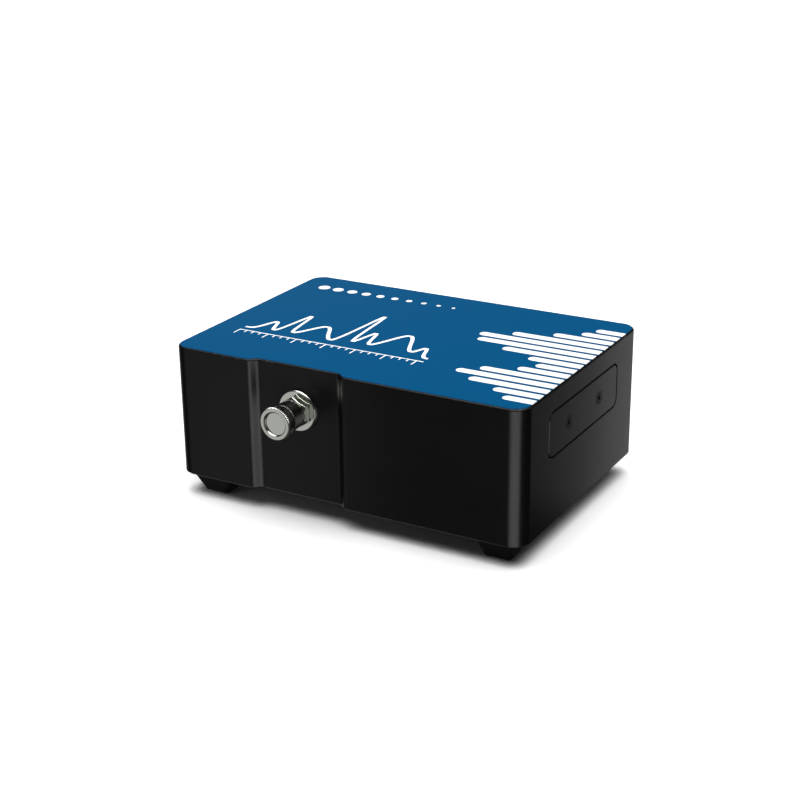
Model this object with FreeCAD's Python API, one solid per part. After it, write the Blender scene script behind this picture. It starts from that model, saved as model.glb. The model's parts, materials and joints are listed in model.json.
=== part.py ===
import FreeCAD, Part
import math
import os

# Miniature fibre spectrometer: a milled black housing over a folded optical bench, with a
# threaded fibre port in the recess of its front face and a screw-on dust cap over the port.
# Millimetres. X runs to the right along the front, Y to the rear, Z up. The origin lies on the
# surface that the feet stand on, under the middle of the whole outline, dust cap included.

# Housing
body_length = 112.7
body_depth = 79.4
body_height = 40.0
corner_radius = 4.8
side_wall = 3.2
front_wall = 5.0
top_wall = 3.0
cavity_radius = 2.5
top_edge_radius = 0.5
underside_chamfer = 0.4

# Recess across the front face, a flat floor between two softly curved ramps
recess_depth = 2.05
recess_width = 28.8
ramp_run = 1.5
ramp_radius = 2.4

# Printed label on the top face
label_thickness = 0.2
label_inset = 0.5

# Base plate and rubber feet
base_thickness = 3.0
base_gap = 0.15
foot_height = 6.5
foot_top = 12.6
foot_tip_length = 8.2
foot_tip_depth = 6.2
foot_edge_radius = 1.2
foot_tip_bevel = 0.6
foot_inset_x = 9.75
foot_inset_y = 7.9
foot_pocket_depth = 3.0
foot_screw_grip = 7.5
post_radius = 3.6
post_hole_depth = 12.0
mount_hole_spacing = 40.0
mount_hole_radius = 1.65
mount_hole_depth = 5.0
mount_boss_radius = 4.0
mount_boss_height = 2.5

# Fibre port: 1/4-36 thread and 3.2 mm ferrule bore
port_x = -14.4
axis_height = 26.8
thread_radius = 3.175
thread_chamfer = 0.3
ferrule_radius = 1.6
port_reach = 9.9
port_hole_gap = 0.15
collar_radius = 5.0
collar_thickness = 1.2
washer_radius = 6.15
washer_thickness = 1.2
washer_chamfer = 0.3
nut_flats = 8.5
nut_thickness = 2.2
nut_corner_chamfer = 0.5
nut_turn = 33.0
thread_gap = 0.05

# Dust cap
cap_mouth_gap = 0.6
cap_barrel_radius = 4.25
cap_barrel_length = 7.2
cap_knurl_length = 1.8
cap_knurl_height = 0.15
cap_knurl_teeth = 48
cap_groove = 0.35
cap_groove_depth = 0.35
cap_disc_radius = 4.9
cap_disc_thickness = 1.2
cap_disc_chamfer = 0.25
cap_disc_teeth = 60
cap_disc_tooth = 0.12
cap_face_radius = 3.5
cap_face_depth = 0.35
cap_spigot = 0.5
cap_running_gap = 0.08
cap_seal_gap = 0.05
cap_seal_radial_gap = 0.25

# Inset plate in the right wall
side_plate_length = 47.2
side_plate_height = 13.3
side_plate_thickness = 1.5
side_plate_radius = 2.5
side_plate_gap = 0.2
side_plate_chamfer = 0.35
side_plate_ledge = 1.6
side_screw_spacing = 21.0

# Optical bench on four pillars
pillar_length = 10.5
pillar_radius = 3.0
pillar_screw_grip = 4.2
pillar_x = 30.0
pillar_y = 22.0
bench_thickness = 3.5
bench_margin = 0.5
post_gap = 0.6
plate_corner_radius = 1.5
port_block_width = 18.0
port_block_front = 1.5
port_block_thread = 2.5
port_block_rear = 3.0
port_block_top = 8.0

# Slit behind the port
slit_radius = 4.5
slit_disc_thickness = 0.3
slit_width = 0.1
slit_height = 1.0
slit_holder_thickness = 1.5
slit_holder_opening = 2.0
slit_retainer_thickness = 1.0
slit_retainer_opening = 2.8

# Mirrors, grating and their mounts
groove_spacing = 1 / 600
centre_wavelength = 600e-6
collimator_fold = 32.0
grating_distance = 50.0
grating_width = 16.0
focusing_width = 24.0
focusing_y = 5.0
optic_thickness = 5.0
optic_gap = 0.3
mount_plate = 3.0
mount_foot = 1.5
mount_toe = 6.0
mount_rim = 1.0
mount_screw_grip = 2.8
turning_gap = 0.5
baffle_thickness = 1.0
baffle_length = 14.0
baffle_top_gap = 0.6
trap_width = 12.0
trap_depth = 5.0
trap_wall = 1.0
trap_inset = 5.5

# Detector on the right wall
detector_length = 32.0
detector_height = 9.0
detector_thickness = 3.0
detector_standoff = 0.3
detector_corner = 0.5
sensor_length = 28.7
sensor_height = 0.6
sensor_depth = 1.0
sensor_thickness = 0.5
sensor_well_margin = 1.0
window_thickness = 0.7
window_margin = 1.0
glass_corner = 0.3
pin_pitch = 2.54
pin_rows = 10.16
pins_per_row = 11
pin_width = 0.5
pin_tail = 0.6
carrier_thickness = 3.4
carrier_gap = 0.4
carrier_screw_inset = 2.6
detector_board_length = 45.0
detector_board_rise = 8.0
detector_board_drop = 1.4
lens_thickness = 2.6
lens_bulge = 1.2
lens_height = 7.0
lens_length = 31.0
filter_thickness = 1.0
lens_pocket_gap = 0.1
lens_mount_rim = 3.0
lens_mount_lip = 1.4
lens_mount_gap = 0.6
lens_mount_toe = 5.0
lens_window_margin = 0.8

# Electronics
board_boss_height = 3.0
board_boss_radius = 2.8
board_boss_x = 38.0
board_boss_y = 14.0
board_thickness = 1.6
header_length = 26.0
header_width = 4.0
header_height = 4.5
usb_x = -20.0
usb_width = 7.7
usb_height = 4.0
usb_length = 9.3
usb_shell = 0.35
extension_x = 12.0
extension_width = 13.0
extension_height = 5.6
extension_length = 8.5
extension_wall = 1.0
extension_cavity = 6.0
extension_key = 3.0
extension_pitch = 2.0
socket_setback = 0.3
socket_gap = 0.3
usb_tongue_thickness = 1.0
contact_setback = 1.2
chip_lift = 0.1
chip_bevel = 0.35
processor_size = (14.0, 14.0, 1.4)
converter_size = (7.0, 7.0, 1.2)
memory_size = (5.0, 6.2, 1.5)
regulator_size = (6.5, 3.5, 1.6)
crystal_size = (4.5, 11.0, 3.5)
capacitor_size = (2.0, 1.2, 1.0)
capacitor_pitch = 4.0
chip_gap = 2.0
converter_gap = 7.15
processor_x = -4.0
processor_y = -14.0

# Screws: radius of the thread and of the head, height of a pan head, and the driver's
# cross and the head's bevel as shares of the head
m25 = 1.25
m25_head = 2.1
m25_head_height = 1.3
m2 = 1.0
m2_head = 1.75
hole_gap = 0.05
cross_arm = 0.62
cross_width = 0.22
cross_depth = 0.4
head_bevel = 0.35

V = FreeCAD.Vector
UP = V(0, 0, 1)
DOWN = V(0, 0, -1)
RIGHT = V(1, 0, 0)
OUTWARD = V(0, -1, 0)

# Levels, from the table up
underside = foot_height
plate_top = underside + base_thickness
board_bottom = plate_top + board_boss_height
board_top = board_bottom + board_thickness
bench_bottom = plate_top + pillar_length
bench_top = bench_bottom + bench_thickness
axis_z = underside + axis_height
housing_top = underside + body_height - label_thickness
cavity_top = housing_top - top_wall

# Walls, from the middle of the housing
half_length = body_length / 2
half_depth = body_depth / 2
inner_x = half_length - side_wall
inner_front = -half_depth + front_wall
inner_rear = half_depth - side_wall
post_x = half_length - foot_inset_x
post_y = half_depth - foot_inset_y

# Fibre port, measured outwards from the recess floor
port_face = -half_depth + recess_depth
port_wall = front_wall - recess_depth
nut_start = washer_thickness
nut_end = nut_start + nut_thickness
cap_start = nut_end + cap_mouth_gap
cap_barrel_end = cap_start + cap_barrel_length
cap_end = cap_barrel_end + cap_disc_thickness
cap_bore = thread_radius + cap_running_gap

# Bench front block, from the inner face of the front wall to the rear
bench_front = inner_front + bench_margin
slit_y = bench_front + port_block_front + port_block_thread
block_rear = slit_y + port_block_rear

# Detector stack, from the right face inwards
plate_inner = half_length - side_plate_thickness
carrier_outer = plate_inner
detector_board_back = carrier_outer - carrier_thickness
detector_board_front = detector_board_back - board_thickness
detector_back = detector_board_front - detector_standoff
detector_front = detector_back - detector_thickness
sensor_x = detector_front + sensor_depth
opening_length = side_plate_length - 2 * side_plate_ledge
opening_height = side_plate_height - 2 * side_plate_ledge
carrier_length = opening_length - 2 * carrier_gap
carrier_height = opening_height - 2 * carrier_gap
lens_mount_back = detector_front - lens_mount_gap
lens_pocket_depth = lens_thickness + filter_thickness
lens_mount_front = lens_mount_back - lens_pocket_depth - lens_mount_lip

# The outline is centred on the origin, from the end of the dust cap to the rear face
origin_shift = (half_depth + cap_end - port_face) / 2 - half_depth

# Folded optical path in plan: slit, collimating mirror, grating, focusing mirror, detector
optic_half_height = axis_z - bench_top - mount_foot - optic_gap
collimator_width = 2 * (optic_half_height + mount_rim)
mount_stack = optic_thickness + mount_plate
collimator_turning = math.hypot(mount_stack, collimator_width / 2)
focusing_turning = math.hypot(mount_stack, focusing_width / 2 + mount_rim)
fold = math.radians(collimator_fold)
slit_point = V(port_x, slit_y, 0)
collimator_point = V(port_x, inner_rear - turning_gap - collimator_turning, 0)
folded_ray = V(math.sin(fold), -math.cos(fold), 0)
grating_point = collimator_point + folded_ray * grating_distance
focusing_point = V(-inner_x + turning_gap + focusing_turning, focusing_y, 0)
detector_point = V(sensor_x, 0, 0)


def heading(vector):
    """Angle of a plan vector from +X, in radians."""
    return math.atan2(vector.y, vector.x)


def facing(vertex, first, second):
    """Heading of a mirror at vertex that sends light from the point first to the point second."""
    to_first = (first - vertex).normalize()
    to_second = (second - vertex).normalize()
    return heading(to_first + to_second)


def grating_heading():
    """Heading of the grating's normal, by the grating equation sin a + sin b = wavelength / spacing."""
    to_collimator = heading(collimator_point - grating_point)
    to_focusing = heading(focusing_point - grating_point)
    half_spread = (to_focusing - to_collimator) / 2
    tilt = math.asin(centre_wavelength / groove_spacing / (2 * math.cos(half_spread)))
    return (to_focusing + to_collimator) / 2 - tilt


def stand(point, angle):
    """Placement whose local +X is the facing direction of an optic that stands at point."""
    return FreeCAD.Placement(point, FreeCAD.Rotation(UP, math.degrees(angle)))


collimator_stand = stand(collimator_point, facing(collimator_point, slit_point, grating_point))
grating_stand = stand(grating_point, grating_heading())
focusing_stand = stand(focusing_point, facing(focusing_point, grating_point, detector_point))
collimator_focal = (collimator_point - slit_point).Length
focusing_focal = (detector_point - focusing_point).Length


# Basic solids

def block(x0, x1, y0, y1, z0, z1):
    """Box between two corners."""
    return Part.makeBox(x1 - x0, y1 - y0, z1 - z0, V(x0, y0, z0))


def rod(radius, start, direction, length):
    """Cylinder from start along direction."""
    return Part.makeCylinder(radius, length, start, direction)


def port_rod(radius, inner, outer):
    """Cylinder round the port axis between two distances out from the recess floor."""
    return rod(radius, V(port_x, port_face - inner, axis_z), OUTWARD, outer - inner)


def rounded_wire(corners, z):
    """Closed wire at height z through (x, y, radius) corners, each an arc tangent to its sides."""
    arcs = []
    for index, (x, y, radius) in enumerate(corners):
        here = V(x, y, z)
        before = corners[index - 1]
        after = corners[(index + 1) % len(corners)]
        to_before = (V(before[0], before[1], z) - here).normalize()
        to_after = (V(after[0], after[1], z) - here).normalize()
        half_angle = to_before.getAngle(to_after) / 2
        reach = radius / math.tan(half_angle)
        bisector = (to_before + to_after).normalize()
        middle = here + bisector * (radius / math.sin(half_angle) - radius)
        arcs.append((here + to_before * reach, middle, here + to_after * reach))
    edges = []
    for index, (start, middle, end) in enumerate(arcs):
        following = arcs[(index + 1) % len(arcs)][0]
        edges.append(Part.Arc(start, middle, end).toShape())
        edges.append(Part.LineSegment(end, following).toShape())
    return Part.Wire(edges)


def rectangle(x0, x1, y0, y1, radius):
    """Corners of a rectangle with one corner radius, for rounded_wire."""
    return [(x0, y0, radius), (x1, y0, radius), (x1, y1, radius), (x0, y1, radius)]


def prism(corners, z0, z1):
    """Upright solid on a rounded outline."""
    return Part.Face(rounded_wire(corners, z0)).extrude(V(0, 0, z1 - z0))


def side_prism(length, height, radius, x0, x1):
    """Rounded rectangle on the optical axis, seen from the right, between two X places."""
    lying = prism(rectangle(-height / 2, height / 2, -length / 2, length / 2, radius), x0, x1)
    lying.Placement = FreeCAD.Placement(V(0, 0, axis_z), FreeCAD.Rotation(V(0, 1, 0), 90))
    return lying


def fuse(shapes):
    """One solid from overlapping or touching shapes, with its seams removed."""
    return shapes[0].multiFuse(shapes[1:]).removeSplitter()


def flat_edges(shape, level, outward):
    """Edges of shape that lie at one level along the direction outward."""
    found = []
    for edge in shape.Edges:
        levels = [vertex.Point.dot(outward) for vertex in edge.Vertexes]
        middle = edge.CenterOfMass.dot(outward)
        if all(abs(value - level) < 1e-4 for value in levels + [middle]):
            found.append(edge)
    return found


def place(shape, point, direction):
    """Copy of a shape built along +Z from the origin, turned to direction and set at point."""
    placed = shape.copy()
    placed.Placement = FreeCAD.Placement(point, FreeCAD.Rotation(UP, direction))
    return placed


def corner_points(x, y, z):
    """Four points placed symmetrically about the housing's middle."""
    return [V(sx * x, sy * y, z) for sx in (-1, 1) for sy in (-1, 1)]


# Screws, each built with the outer face of its head at the origin and its shank along -Z

def cross_recess(head_radius):
    """Cross-shaped driver recess in the head."""
    arm = head_radius * cross_arm
    width = head_radius * cross_width
    depth = head_radius * cross_depth
    first = block(-arm, arm, -width / 2, width / 2, -depth, depth)
    second = block(-width / 2, width / 2, -arm, arm, -depth, depth)
    return first.fuse(second)


def flat_screw(radius, head_radius, length):
    """Countersunk screw whose head narrows at 45 degrees to the thread."""
    head = Part.makeCone(radius, head_radius, head_radius - radius, V(0, 0, radius - head_radius))
    shank = rod(radius, V(0, 0, -length), UP, length - (head_radius - radius))
    return fuse([head, shank]).cut(cross_recess(head_radius))


def pan_screw(radius, head_radius, head_height, length):
    """Screw with a low bevelled head of the given height and a shank of the given length."""
    head = rod(head_radius, V(0, 0, -head_height), UP, head_height)
    head = head.makeChamfer(head_height * head_bevel, flat_edges(head, 0, UP))
    shank = rod(radius, V(0, 0, -head_height - length), UP, length)
    return fuse([head, shank]).cut(cross_recess(head_radius))


def countersink(radius, head_radius, point, direction):
    """Cutter for a flat screw's head and thread, with clearance round the thread."""
    wide = head_radius + hole_gap
    cone = Part.makeCone(0, wide, wide, V(0, 0, -wide))
    hole = rod(radius + hole_gap, V(0, 0, -wide), UP, wide)
    return place(cone.fuse(hole), point, direction)


# Housing and the pieces that close it

def outline_corners():
    """Outline of the housing in plan, with the recess and its ramps along the front."""
    left = port_x - recess_width / 2
    right = port_x + recess_width / 2
    return [
        (-half_length, -half_depth, corner_radius),
        (left - ramp_run / 2, -half_depth, ramp_radius),
        (left + ramp_run / 2, port_face, ramp_radius),
        (right - ramp_run / 2, port_face, ramp_radius),
        (right + ramp_run / 2, -half_depth, ramp_radius),
        (half_length, -half_depth, corner_radius),
        (half_length, half_depth, corner_radius),
        (-half_length, half_depth, corner_radius),
    ]


def screw_posts():
    """Posts in the housing's inner corners, which take the screws of the feet."""
    posts = []
    for point in corner_points(post_x, post_y, plate_top):
        wall_x = math.copysign(half_length - side_wall / 2, point.x)
        wall_y = half_depth - side_wall / 2 if point.y > 0 else -half_depth + front_wall / 2
        inner_side_x = point.x - math.copysign(post_radius, point.x)
        inner_side_y = point.y - math.copysign(post_radius, point.y)
        x0, x1 = sorted((wall_x, inner_side_x))
        y0, y1 = sorted((wall_y, inner_side_y))
        outline = rectangle(x0, x1, y0, y1, plate_corner_radius)
        posts.append(prism(outline, plate_top, cavity_top + top_wall / 2))
    return posts


def rear_opening(centre_x, width, height):
    """Cutter through the rear wall for a socket that stands on the main board."""
    x0 = centre_x - width / 2 - socket_gap
    x1 = centre_x + width / 2 + socket_gap
    z1 = board_top + height + socket_gap
    return block(x0, x1, inner_rear - 1, half_depth + 1, board_top - socket_gap, z1)


def housing():
    """Milled shell, open below: four walls and the top in one piece."""
    shell = prism(outline_corners(), underside, housing_top)
    shell = shell.makeFillet(top_edge_radius, flat_edges(shell, housing_top, UP))
    shell = shell.makeChamfer(underside_chamfer, flat_edges(shell, underside, UP))
    inside = rectangle(-inner_x, inner_x, inner_front, inner_rear, cavity_radius)
    shell = shell.cut(prism(inside, underside - 1, cavity_top))
    shell = fuse([shell] + screw_posts())
    cuts = [rod(m25 + hole_gap, p, UP, post_hole_depth)
            for p in corner_points(post_x, post_y, plate_top)]
    cuts.append(port_rod(thread_radius + port_hole_gap, -port_wall - 1, 1))
    cuts.append(rear_opening(usb_x, usb_width, usb_height))
    cuts.append(rear_opening(extension_x, extension_width, extension_height))
    cuts.append(side_prism(side_plate_length + 2 * side_plate_gap,
                           side_plate_height + 2 * side_plate_gap,
                           side_plate_radius + side_plate_gap, plate_inner, half_length + 1))
    cuts.append(side_prism(opening_length, opening_height, side_plate_radius,
                           inner_x - 1, plate_inner + 1))
    return shell.cut(cuts)


def top_label():
    """Printed film on the top face, a little inside its edge all round."""
    edge = rounded_wire(outline_corners(), housing_top).makeOffset2D(-label_inset)
    return Part.Face(edge).extrude(V(0, 0, label_thickness))


def base_plate():
    """Plate that closes the underside, with bosses for the main board and two tapped bosses."""
    flange = rectangle(-inner_x + base_gap, inner_x - base_gap,
                       inner_front + base_gap, inner_rear - base_gap, cavity_radius - base_gap)
    board_points = corner_points(board_boss_x, board_boss_y, underside)
    mount_points = [V(sx * mount_hole_spacing / 2, 0, underside) for sx in (-1, 1)]
    solids = [prism(flange, underside, plate_top)]
    for point in board_points:
        solids.append(rod(board_boss_radius, point, UP, base_thickness + board_boss_height))
    for point in mount_points:
        solids.append(rod(mount_boss_radius, point, UP, base_thickness + mount_boss_height))
    plate = fuse(solids)
    depth = base_thickness + board_boss_height
    cuts = [rod(m25 + hole_gap, p + UP, UP, depth) for p in board_points]
    cuts += [rod(mount_hole_radius, p, UP, mount_hole_depth) for p in mount_points]
    cuts += [rod(m25 + hole_gap, p, UP, base_thickness)
             for p in corner_points(post_x, post_y, underside)]
    for point in corner_points(pillar_x, pillar_y, underside):
        cuts.append(countersink(m25, m25_head, point, DOWN))
        cuts.append(rod(m25 + hole_gap, point, UP, base_thickness))
    return plate.cut(cuts)


def foot(x, y):
    """Rubber foot that tapers to its tip, with a pocket below for the head of its screw."""
    wide = foot_top / 2
    tip_x = foot_tip_length / 2
    tip_y = foot_tip_depth / 2
    body = Part.makeWedge(-tip_x, 0, -tip_y, -wide, -wide, tip_x, foot_height, tip_y, wide, wide)
    body.Placement = FreeCAD.Placement(V(x, y, 0), FreeCAD.Rotation(RIGHT, 90))
    levels = flat_edges(body, 0, UP) + flat_edges(body, foot_height, UP)
    slanted = [edge for edge in body.Edges if not any(edge.isSame(flat) for flat in levels)]
    body = body.makeFillet(foot_edge_radius, slanted)
    body = body.makeChamfer(foot_tip_bevel, flat_edges(body, 0, UP))
    pocket = rod(m25_head + hole_gap, V(x, y, 0), UP, foot_pocket_depth)
    hole = rod(m25 + hole_gap, V(x, y, 0), UP, foot_height)
    return body.cut([pocket, hole])


def foot_screws():
    """Screws up through the feet and the base plate into the housing's posts."""
    length = foot_height - foot_pocket_depth + base_thickness + foot_screw_grip
    screw = pan_screw(m25, m25_head, m25_head_height, length)
    level = foot_pocket_depth - m25_head_height
    return [place(screw, point, DOWN) for point in corner_points(post_x, post_y, level)]


def side_plate():
    """Cover in the right wall, flush with it, with a bevelled edge."""
    plate = side_prism(side_plate_length, side_plate_height, side_plate_radius,
                       plate_inner, half_length)
    plate = plate.makeChamfer(side_plate_chamfer, flat_edges(plate, half_length, RIGHT))
    cuts = []
    for point in side_screw_points():
        cuts.append(countersink(m25, m25_head, point, RIGHT))
        cuts.append(rod(m25 + hole_gap, point, -RIGHT, side_plate_thickness))
    return plate.cut(cuts)


def side_screw_points():
    """Centres of the two screw heads in the face of the side plate."""
    return [V(half_length, side * side_screw_spacing / 2, axis_z) for side in (-1, 1)]


def side_plate_screws():
    """Flat screws through the side plate into the carrier behind it."""
    screw = flat_screw(m25, m25_head, side_plate_thickness + carrier_thickness)
    return [place(screw, point, RIGHT) for point in side_screw_points()]


# Fibre port

def port_connector():
    """Threaded tube through the front wall, with a collar that the nut pulls against it."""
    rear = port_face - slit_y
    tube = port_rod(thread_radius, rear, port_reach)
    tube = tube.makeChamfer(thread_chamfer, flat_edges(tube, port_reach - port_face, OUTWARD))
    collar = port_rod(collar_radius, -port_wall - collar_thickness, -port_wall)
    return fuse([tube, collar]).cut(port_rod(ferrule_radius, rear, port_reach))


def port_washer():
    """Round washer on the recess floor, bevelled at its front edge."""
    ring = port_rod(washer_radius, 0, washer_thickness)
    ring = ring.makeChamfer(washer_chamfer, flat_edges(ring, washer_thickness - port_face, OUTWARD))
    return ring.cut(port_rod(thread_radius + thread_gap, 0, washer_thickness))


def port_nut():
    """Hexagon nut with its corners turned down at both faces."""
    corner = nut_flats / math.sqrt(3)
    points = []
    for index in range(7):
        angle = math.radians(nut_turn + 60 * index)
        points.append(V(port_x + corner * math.cos(angle), port_face - nut_start,
                        axis_z + corner * math.sin(angle)))
    hexagon = Part.Face(Part.makePolygon(points)).extrude(OUTWARD * nut_thickness)
    turned = port_rod(corner, nut_start, nut_end)
    rims = flat_edges(turned, nut_start - port_face, OUTWARD)
    rims += flat_edges(turned, nut_end - port_face, OUTWARD)
    turned = turned.makeChamfer(nut_corner_chamfer, rims)
    return hexagon.common(turned).cut(port_rod(thread_radius + thread_gap, nut_start, nut_end))


# Dust cap

def ridged_rod(crest, tooth, teeth, inner, outer):
    """Bar round the port axis with straight ridges of the given height."""
    points = []
    for index in range(2 * teeth + 1):
        radius = crest - tooth * (index % 2)
        angle = math.pi * index / teeth
        points.append(V(port_x + radius * math.cos(angle), port_face - inner,
                        axis_z + radius * math.sin(angle)))
    return Part.Face(Part.makePolygon(points)).extrude(OUTWARD * (outer - inner))


def cap_barrel():
    """Sleeve over the thread: a smooth neck, a knurled grip and a groove before the disc."""
    groove_start = cap_barrel_end - cap_groove
    knurl_start = groove_start - cap_knurl_length
    neck = port_rod(cap_barrel_radius, cap_start, knurl_start)
    neck = neck.makeChamfer(cap_knurl_height, flat_edges(neck, cap_start - port_face, OUTWARD))
    grip = ridged_rod(cap_barrel_radius + cap_knurl_height, 2 * cap_knurl_height,
                      cap_knurl_teeth, knurl_start, groove_start)
    throat = port_rod(cap_barrel_radius - cap_groove_depth, groove_start, cap_barrel_end)
    return fuse([neck, grip, throat]).cut(port_rod(cap_bore, cap_start, cap_barrel_end))


def cap_end_disc():
    """Disc with a milled rim and a shallow round recess, on a spigot that closes the barrel."""
    blank = port_rod(cap_disc_radius, cap_barrel_end, cap_end)
    rims = flat_edges(blank, cap_barrel_end - port_face, OUTWARD)
    rims += flat_edges(blank, cap_end - port_face, OUTWARD)
    blank = blank.makeChamfer(cap_disc_chamfer, rims)
    teeth = ridged_rod(cap_disc_radius, cap_disc_tooth, cap_disc_teeth, cap_barrel_end, cap_end)
    disc = blank.common(teeth).cut(port_rod(cap_face_radius, cap_end - cap_face_depth, cap_end))
    return fuse([disc, port_rod(cap_bore, cap_barrel_end - cap_spigot, cap_barrel_end)])


def cap_seal():
    """Soft disc between the cap's spigot and the end of the port."""
    return port_rod(cap_bore - cap_seal_radial_gap, port_reach + cap_seal_gap,
                    cap_barrel_end - cap_spigot - cap_seal_gap)


# Optical bench

def notched_corners(x0, x1):
    """Outline between two X places that leaves room for the housing's posts in its corners."""
    margin_front = inner_front + bench_margin
    margin_rear = inner_rear - bench_margin
    notch_x = post_x - post_radius - post_gap
    notch_y = post_y - post_radius - post_gap
    plan = [
        (-notch_x, margin_front), (notch_x, margin_front), (notch_x, -notch_y),
        (x1, -notch_y), (x1, notch_y), (notch_x, notch_y),
        (notch_x, margin_rear), (-notch_x, margin_rear), (-notch_x, notch_y),
        (x0, notch_y), (x0, -notch_y), (-notch_x, -notch_y),
    ]
    return [(x, y, plate_corner_radius) for x, y in plan]


def mount_screw_points():
    """Centres of the screws that hold the optic mounts, on top of the mounts' feet."""
    level = bench_top + mount_foot
    toe = mount_toe / 2
    points = []
    for side in (-1, 1):
        points.append(collimator_stand.multVec(V(toe, side * collimator_width / 3, level)))
        points.append(focusing_stand.multVec(V(toe, side * focusing_width / 3, level)))
        points.append(grating_stand.multVec(V(toe, side * grating_width / 3, level)))
        points.append(V(lens_mount_front - lens_mount_toe / 2, side * lens_length / 3, level))
    return points


def optical_bench():
    """Floor of the bench with the upright block that holds the port and the slit."""
    right_edge = detector_board_front - bench_margin
    floor = prism(notched_corners(-inner_x + bench_margin, right_edge), bench_bottom, bench_top)
    upright = block(port_x - port_block_width / 2, port_x + port_block_width / 2,
                    bench_front, block_rear, bench_bottom, axis_z + port_block_top)
    bench = fuse([floor, upright])
    collar_depth = collar_thickness - bench_margin + hole_gap
    front = port_face - bench_front
    cuts = [port_rod(collar_radius + hole_gap, front - collar_depth, front + 1)]
    cuts.append(port_rod(thread_radius + thread_gap, port_face - slit_y, front))
    cuts.append(port_rod(slit_radius + hole_gap, port_face - block_rear - 1, port_face - slit_y))
    for point in corner_points(pillar_x, pillar_y, bench_bottom):
        cuts.append(rod(m25 + hole_gap, point, UP, bench_thickness))
    for point in mount_screw_points():
        cuts.append(rod(m25 + hole_gap, V(point.x, point.y, bench_bottom), UP, bench_thickness))
    return bench.cut(cuts)


def bench_pillars():
    """Round pillars between the base plate and the bench, bored for a screw at each end."""
    pillars = []
    for point in corner_points(pillar_x, pillar_y, plate_top):
        pillar = rod(pillar_radius, point, UP, pillar_length)
        pillars.append(pillar.cut(rod(m25 + hole_gap, point, UP, pillar_length)))
    return pillars


def pillar_screws():
    """Flat screws up through the base plate into the pillars."""
    screw = flat_screw(m25, m25_head, base_thickness + pillar_screw_grip)
    return [place(screw, p, DOWN) for p in corner_points(pillar_x, pillar_y, underside)]


def bench_screws():
    """Pan screws down through the bench into the pillars."""
    screw = pan_screw(m25, m25_head, m25_head_height, bench_thickness + pillar_screw_grip)
    level = bench_top + m25_head_height
    return [place(screw, p, UP) for p in corner_points(pillar_x, pillar_y, level)]


def slit_ring(opening, start, thickness):
    """Ring in the slit's seat, from start to the rear along the port axis."""
    ring = rod(slit_radius, V(port_x, slit_y + start, axis_z), -OUTWARD, thickness)
    return ring.cut(rod(opening, V(port_x, slit_y + start, axis_z), -OUTWARD, thickness))


def slit_disc():
    """Thin disc with the upright entrance slit through it."""
    disc = rod(slit_radius, V(port_x, slit_y, axis_z), -OUTWARD, slit_disc_thickness)
    gap = block(port_x - slit_width / 2, port_x + slit_width / 2, slit_y - 1, slit_y + 1,
                axis_z - slit_height / 2, axis_z + slit_height / 2)
    return disc.cut(gap)


def slit_holder():
    """Ring that presses the slit disc into its seat."""
    return slit_ring(slit_holder_opening, slit_disc_thickness, slit_holder_thickness)


def slit_retainer():
    """Threaded ring that closes the slit's seat."""
    start = slit_disc_thickness + slit_holder_thickness
    return slit_ring(slit_retainer_opening, start, slit_retainer_thickness)


# Mirrors, grating and mounts, built in the local frame of each stand

def sag(focal, reach):
    """Depth of a spherical mirror of that focal length at a distance from its middle."""
    radius = 2 * focal
    return radius - math.sqrt(radius ** 2 - reach ** 2)


def hollowed(blank, focal):
    """Blank with the concave face of a spherical mirror, lowest at the local origin."""
    radius = 2 * focal
    return blank.cut(Part.makeSphere(radius, V(radius, 0, axis_z)))


def set_down(shape, standing):
    """Shape moved from the local frame of an optic to its place on the bench."""
    shape.Placement = standing
    return shape


def collimating_mirror():
    """Round concave mirror whose focus is the slit."""
    rise = sag(collimator_focal, optic_half_height)
    blank = rod(optic_half_height, V(-optic_thickness, 0, axis_z), RIGHT, optic_thickness + rise)
    return set_down(hollowed(blank, collimator_focal), collimator_stand)


def focusing_mirror():
    """Rectangular concave mirror whose focus is the detector."""
    half = focusing_width / 2
    rise = sag(focusing_focal, math.hypot(half, optic_half_height))
    blank = block(-optic_thickness, rise, -half, half,
                  axis_z - optic_half_height, axis_z + optic_half_height)
    return set_down(hollowed(blank, focusing_focal), focusing_stand)


def diffraction_grating():
    """Flat glass block with its ruled face at the local origin."""
    half = grating_width / 2
    plate = block(-optic_thickness, 0, -half, half,
                  axis_z - optic_half_height, axis_z + optic_half_height)
    return set_down(plate, grating_stand)


def optic_mount(half_width, base, standing, screw_offset):
    """Upright plate behind an optic, fused to a low base that reaches forward under it."""
    top = axis_z + optic_half_height
    plate = block(-mount_stack, -optic_thickness, -half_width, half_width, bench_top, top)
    body = fuse([plate, base])
    cuts = []
    for side in (-1, 1):
        point = V(mount_toe / 2, side * screw_offset, bench_top)
        cuts.append(rod(m25 + hole_gap, point, UP, mount_foot))
    return set_down(body.cut(cuts), standing)


def square_mount(width, standing, screw_offset):
    """Mount with a rectangular base."""
    half = width / 2
    outline = rectangle(-mount_stack, mount_toe, -half, half, plate_corner_radius)
    base = prism(outline, bench_top, bench_top + mount_foot)
    return optic_mount(half, base, standing, screw_offset)


def collimator_mount():
    """Mount of the collimating mirror."""
    return square_mount(collimator_width, collimator_stand, collimator_width / 3)


def focusing_mount():
    """Mount of the focusing mirror."""
    return square_mount(focusing_width + 2 * mount_rim, focusing_stand, focusing_width / 3)


def grating_mount():
    """Mount of the grating, on a round base that turns about the middle of the ruled face."""
    half = grating_width / 2
    base = rod(math.hypot(mount_stack, half), V(0, 0, bench_top), UP, mount_foot)
    return optic_mount(half, base, grating_stand, grating_width / 3)


def mount_screws():
    """Pan screws that hold the mounts to the bench."""
    screw = pan_screw(m25, m25_head, m25_head_height, mount_foot + mount_screw_grip)
    return [place(screw, p + UP * m25_head_height, UP) for p in mount_screw_points()]


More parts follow.
